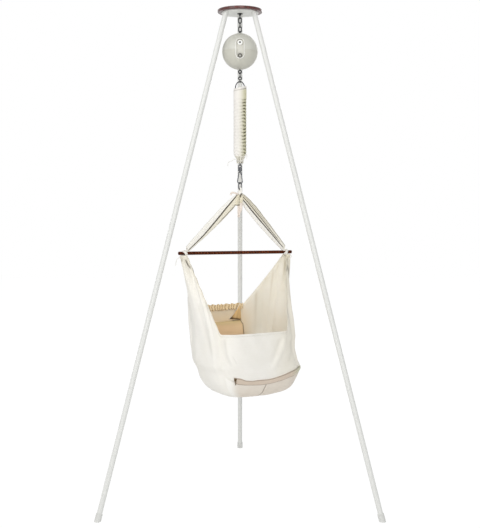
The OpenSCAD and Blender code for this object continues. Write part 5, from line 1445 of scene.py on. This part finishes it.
class CRADLE_OT_frill(bpy.types.Operator):
    """Ruffled strip inside the rear rim"""
    bl_idname = "cradle.frill"
    bl_label = "Rear frill"

    def execute(self, context):
        low, high = rim_point(HEMS[0]), rim_point(HEMS[1] - 0.01)
        inward = np.array([math.sin(BODY_YAW), -math.cos(BODY_YAW), 0])
        t = np.linspace(0.01, 0.99, 260)[None]
        k = np.linspace(0, 1, 12)[:, None]
        phase = 2 * math.pi * (17 * t + 0.45 * np.sin(9 * t + 1) + 0.3 * np.sin(23 * t))
        swing = np.sin(phase + 0.9 * np.sin(5 * k + 3 * t))
        wave = sizes().frill * (0.35 + 0.65 * k) * (0.5 + 0.5 * swing)
        base = low * (1 - t[..., None]) + high * t[..., None]
        z = 0.005 - 0.026 * k + 0.0028 * np.sin(phase + 2.1) * k + 0.0020 * np.sin(phase * 0.5) * (1 - k)
        grid = base + inward * (sizes().cloth + 0.0012 + wave)[..., None] + np.stack([0 * z, 0 * z, z], -1)
        # Painted shade in the frill's valleys and along its lower edge
        crease = (0.5 - 0.5 * swing) ** 2 * (0.3 + 0.45 * np.sin(7 * k + 5 * t) ** 2)
        crease = crease + 0.35 * bell((1 - k) / 0.10)
        frill = cloth_skin("rear_ruffle", grid, [finish("frill")], 0.0009, flip=True, crease=crease)
        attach(frill, "hammock")
        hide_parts("rear_frill")
        return {"FINISHED"}


def plump(piece, voxel, pressure, most, steps=20):
    """Swells a pad with the cloth solver, and keeps each point within its allowance of where it began."""
    scene = bpy.context.scene
    remesh = piece.modifiers.new("even mesh", "REMESH")
    remesh.mode = "VOXEL"
    remesh.voxel_size = voxel
    plain_mesh(piece)
    start = np.array([v.co for v in piece.data.vertices])
    cloth = piece.modifiers.new("filling", "CLOTH")
    cloth.settings.use_pressure = True
    cloth.settings.uniform_pressure_force = pressure
    cloth.settings.effector_weights.gravity = 0
    cloth.settings.quality = 5
    cloth.point_cache.frame_start = 1
    cloth.point_cache.frame_end = steps
    for step in range(1, steps + 1):
        scene.frame_set(step)
        solved = piece.evaluated_get(bpy.context.evaluated_depsgraph_get()).to_mesh()
    moved = np.array([v.co for v in solved.vertices]) - start
    far = np.linalg.norm(moved, axis=1, keepdims=True)
    moved *= np.minimum(1, most / np.maximum(far, 1e-9))
    piece.modifiers.clear()
    scene.frame_set(1)
    piece.data.vertices.foreach_set("co", (start + moved).astype(np.float32).ravel())
    piece.data.update()


class CRADLE_OT_mattress(bpy.types.Operator):
    """Soft pad in the bottom of the cradle, with the piping round its seams"""
    bl_idname = "cradle.mattress"
    bl_label = "Mattress"

    def execute(self, context):
        rows = through([[1.0, 0.066], [0.99, 0.048], [0.93, 0.029], [0.75, 0.018], [0.5, 0.016], [0.22, 0.019],
                        [0.06, 0.031], [0.0, 0.046], [-0.01, 0.070]], np.linspace(0, 8, 40))
        a = np.linspace(0, 360, 120, endpoint=False)
        grid = [body_at(a, 0.4745 + 0.037 * share, -inset - 0.003) for share, inset in rows]
        hub, base = grid[0].mean(0), grid[-1].mean(0)
        crown = [hub + (grid[0] - hub) * f + [0, 0, 0.0025 * (1 - f)] for f in (0.05, 0.35, 0.7)]
        under = [base + (grid[-1] - base) * f for f in (0.7, 0.35, 0.05)]
        pad = surface("mattress_pad", crown + grid + under, [finish("cotton")], closed=True, cap_first=True,
                      cap_last=True)
        plump(pad, 0.005, 4.0, 0.0035)
        smoother = pad.modifiers.new("smoother", "SUBSURF")
        smoother.levels = smoother.render_levels = 1
        plain_mesh(pad)
        pad.data.polygons.foreach_set("use_smooth", [True] * len(pad.data.polygons))
        turn = np.linspace(0, 360, 181)
        lines = [body_at(turn, z, -inset) for z, inset in ((0.5085, 0.0295), (0.4790, 0.0290))]
        piping = grown("mattress_piping", lines, "wire", Radius=0.0019, Sides=10, Finish=finish("cotton"))
        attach(pad, "hammock")
        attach(piping, "hammock")
        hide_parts("mattress")
        return {"FINISHED"}


# Lower and upper edge of the placket and the seam under it: place along the body and height
PLACKET_LOW = [(-0.15, 0.560), (-0.122, 0.536), (-0.098, 0.524), (-0.074, 0.5195), (-0.026, 0.5135), (0.010, 0.512),
               (0.036, 0.512), (0.072, 0.515), (0.104, 0.5195), (0.176, 0.5345), (0.214, 0.5495), (0.242, 0.566)]
PLACKET_HIGH = [(-0.15, 0.570), (-0.116, 0.554), (-0.086, 0.548), (-0.062, 0.5375), (-0.032, 0.533), (-0.006, 0.5345),
                (0.044, 0.533), (0.074, 0.536), (0.104, 0.5425), (0.150, 0.5535), (0.196, 0.5650), (0.242, 0.5760)]
PANEL_SEAM = [(0.039, 0.512), (0.036, 0.503), (0.032, 0.491), (0.028, 0.4715), (0.020, 0.4595), (0.010, 0.4545)]


def line_height(degrees, line):
    """Height of such a line at each angle round the body."""
    shift, half = LEVELS[4][1:3]
    return np.interp(shift + half * round_box(degrees)[0], *np.array(line).T)


def placket_middle(degrees):
    """Height midway between the placket's edges, where the zip runs."""
    return (line_height(degrees, PLACKET_LOW) + line_height(degrees, PLACKET_HIGH)) / 2


def panel_shape():
    """Rows of points of the bottom panel, with the painted shade of its seam and the share of paler cotton at its left
    edge, where its painted shade gives way.
    """
    # The panel runs from the placket's lower edge to under the cradle
    angles = even_angles(218, 353, 250)
    top = line_height(angles, PLACKET_LOW) + 0.004
    proud = 0.0003 + 0.0021 * ease((angles - 220) / 12)
    grid = np.array([
        body_at(angles, top * (1 - k) + 0.4444 * k, proud + 0.0010 * k)
        for k in np.concatenate([[0, 0.02], np.linspace(0.05, 0.9, 44), np.linspace(0.91, 1, 14)])])
    along = np.linspace(0, 1, grid.shape[0])[:, None]
    face = outward(grid, closed=False)
    x, z = grid[..., 0], grid[..., 2]
    own = (x - BODY_MID[0]) * math.cos(BODY_YAW) + (grid[..., 1] - BODY_MID[1] - AXIS[1]) * math.sin(BODY_YAW)
    seamline, share = near_line(np.stack([own, z], -1), PANEL_SEAM)
    seen = (face[..., 1] < 0.2) * ease((own + 0.06) / 0.02)
    lift = -0.0010 * bell(seamline / 0.0022) * seen + 0.0010 * bell((seamline - 0.007) / 0.006)
    lift += 0.0008 * np.sin(41 * x + 63 * z) + 0.0005 * np.sin(83 * x - 47 * z + 1)
    lift *= ease((angles - 222) / 12) * ease(along * 8) * (1 - ease((along - 0.80) / 0.15))
    grid = grid + face * lift[..., None]
    crease = 0.85 * bell(seamline / 0.0020) * seen * ease(share * 12) * ease((1 - share) * 5)
    # Painted light: the panel pales to the cotton colour at its left edge and higher up towards the left, where the
    # underside turns to the light
    pale = 1 - ease((angles - 222) / 22)[None] + 0.25 * ease((z - 0.48) / 0.05) * ease((0.10 - own) / 0.2)
    return grid, crease, pale


def placket_shape(span):
    """Rows of points of the placket's rolled lip, with the painted shade along its edges and its share of olive, a
    painted shade at its right end.
    """
    low, high = line_height(span, PLACKET_LOW), line_height(span, PLACKET_HIGH)
    # Share of the way up, and how far the lip stands off the cloth there
    profile = [(1.06, 0.0006), (1.0, 0.0026), (0.9, 0.0036), (0.7, 0.0046), (0.45, 0.0056), (0.2, 0.0054),
               (0.04, 0.0044), (0.0, 0.0030), (0.05, 0.0022)]
    share, out = (np.interp(np.linspace(0, 8, 33), range(9), column) for column in np.array(profile).T)
    ripple = 0.0010 * np.sin(0.33 * span) * np.sin(0.11 * span + 1)
    opened = ease((span - 236) / 10)
    rows = [body_at(span, low + (high - low) * f + ripple * (0.3 + 0.7 * (1 - f)), 0.0024 + (o - 0.0024) * opened)
            for f, o in zip(share, out)]
    f = share[:, None]
    dark = 0.75 * bell((f - 0.03) / 0.07) + 0.55 * bell((f - 0.97) / 0.08)
    dark = dark + 0.30 * bell((f - 0.55) / 0.07) * ease((span - 290) / 20)[None]
    olive = 0.95 * ease((span - 288) / 28)[None] + 0 * f
    return rows, dark, olive


class CRADLE_OT_panel(bpy.types.Operator):
    """Darker bottom panel with its zip, placket and slider"""
    bl_idname = "cradle.panel"
    bl_label = "Bottom panel and zip"

    def execute(self, context):
        grid, crease, pale = panel_shape()
        panel = cloth_skin("bottom_cloth", grid, [finish("panel")], 0.0012, crease=crease, bunched=pale)
        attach(panel, "hammock")
        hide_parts("bottom_panel")

        # The placket hides the zip between its two edges and stands open at its left end
        span = even_angles(235.5, 352, 260)
        middle = placket_middle(span)
        tape_rows = [body_at(span, z, out) for z, out in
                     ((middle + 0.0032, 0.0014), (middle + 0.0012, 0.0020), (middle - 0.0012, 0.0020),
                      (middle - 0.0032, 0.0014))]
        tape = cloth_skin("zip_cloth_tape", tape_rows, [finish("panel")], 0.0009)
        rows, dark, olive = placket_shape(span)
        placket = cloth_skin("zip_placket", rows, [finish("placket")], 0.0009, crease=dark, bunched=olive)
        teeth_at = even_angles(236, 262, 60)
        middle = placket_middle(teeth_at)
        facing = outward(np.array([body_at(teeth_at, middle + up, 0.003) for up in (0.002, -0.002)]), closed=False)[0]
        row = grown("zip_teeth", [body_at(teeth_at, middle + up, 0.0028) for up in (0.0009, -0.0009)], "tooth",
                    facing=[facing, facing], Pitch=0.0026, Size=(0.0010, 0.0020, 0.0014), Finish=finish("brass"))
        for part, slot in ((tape, "cream_cotton"), (placket, "beige_cotton"), (row, "cream_cotton")):
            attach(part, "hammock")
        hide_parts("zip_tape")
        finish_nodes(["zip_slider"], finish("brass"))
        return {"FINISHED"}


STEPS = [
    ("stage", CRADLE_OT_stage), ("cords", CRADLE_OT_cords), ("stand", CRADLE_OT_stand), ("chain", CRADLE_OT_chain),
    ("motor", CRADLE_OT_motor), ("spring", CRADLE_OT_spring), ("knot", CRADLE_OT_knot), ("straps", CRADLE_OT_straps),
    ("bar", CRADLE_OT_bar), ("cloth", CRADLE_OT_cloth), ("lining", CRADLE_OT_lining), ("frill", CRADLE_OT_frill),
    ("mattress", CRADLE_OT_mattress), ("panel", CRADLE_OT_panel),
]


class CRADLE_PT_sidebar(bpy.types.Panel):
    """Sizes, colours and pieces of the cradle"""
    bl_idname = "CRADLE_PT_sidebar"
    bl_label = "Hammock Cradle"
    bl_space_type = "VIEW_3D"
    bl_region_type = "UI"
    bl_category = "Cradle"

    def draw(self, context):
        for group in (context.scene.cradle_sizes, context.scene.cradle_colours):
            box = self.layout.box()
            for key in group.__annotations__:
                box.prop(group, key)
        for _, step in STEPS:
            self.layout.operator(step.bl_idname)


CLASSES = [CradleSizes, CradleColours, *(step for _, step in STEPS), CRADLE_PT_sidebar]


def register():
    for one in CLASSES:
        bpy.utils.register_class(one)
    bpy.types.Scene.cradle_sizes = bpy.props.PointerProperty(type=CradleSizes)
    bpy.types.Scene.cradle_colours = bpy.props.PointerProperty(type=CradleColours)


def unregister():
    del bpy.types.Scene.cradle_sizes
    del bpy.types.Scene.cradle_colours
    for one in reversed(CLASSES):
        bpy.utils.unregister_class(one)


def main():
    register()
    for key, _ in STEPS:
        getattr(bpy.ops.cradle, key)()
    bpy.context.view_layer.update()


if __name__ == "__main__":
    main()
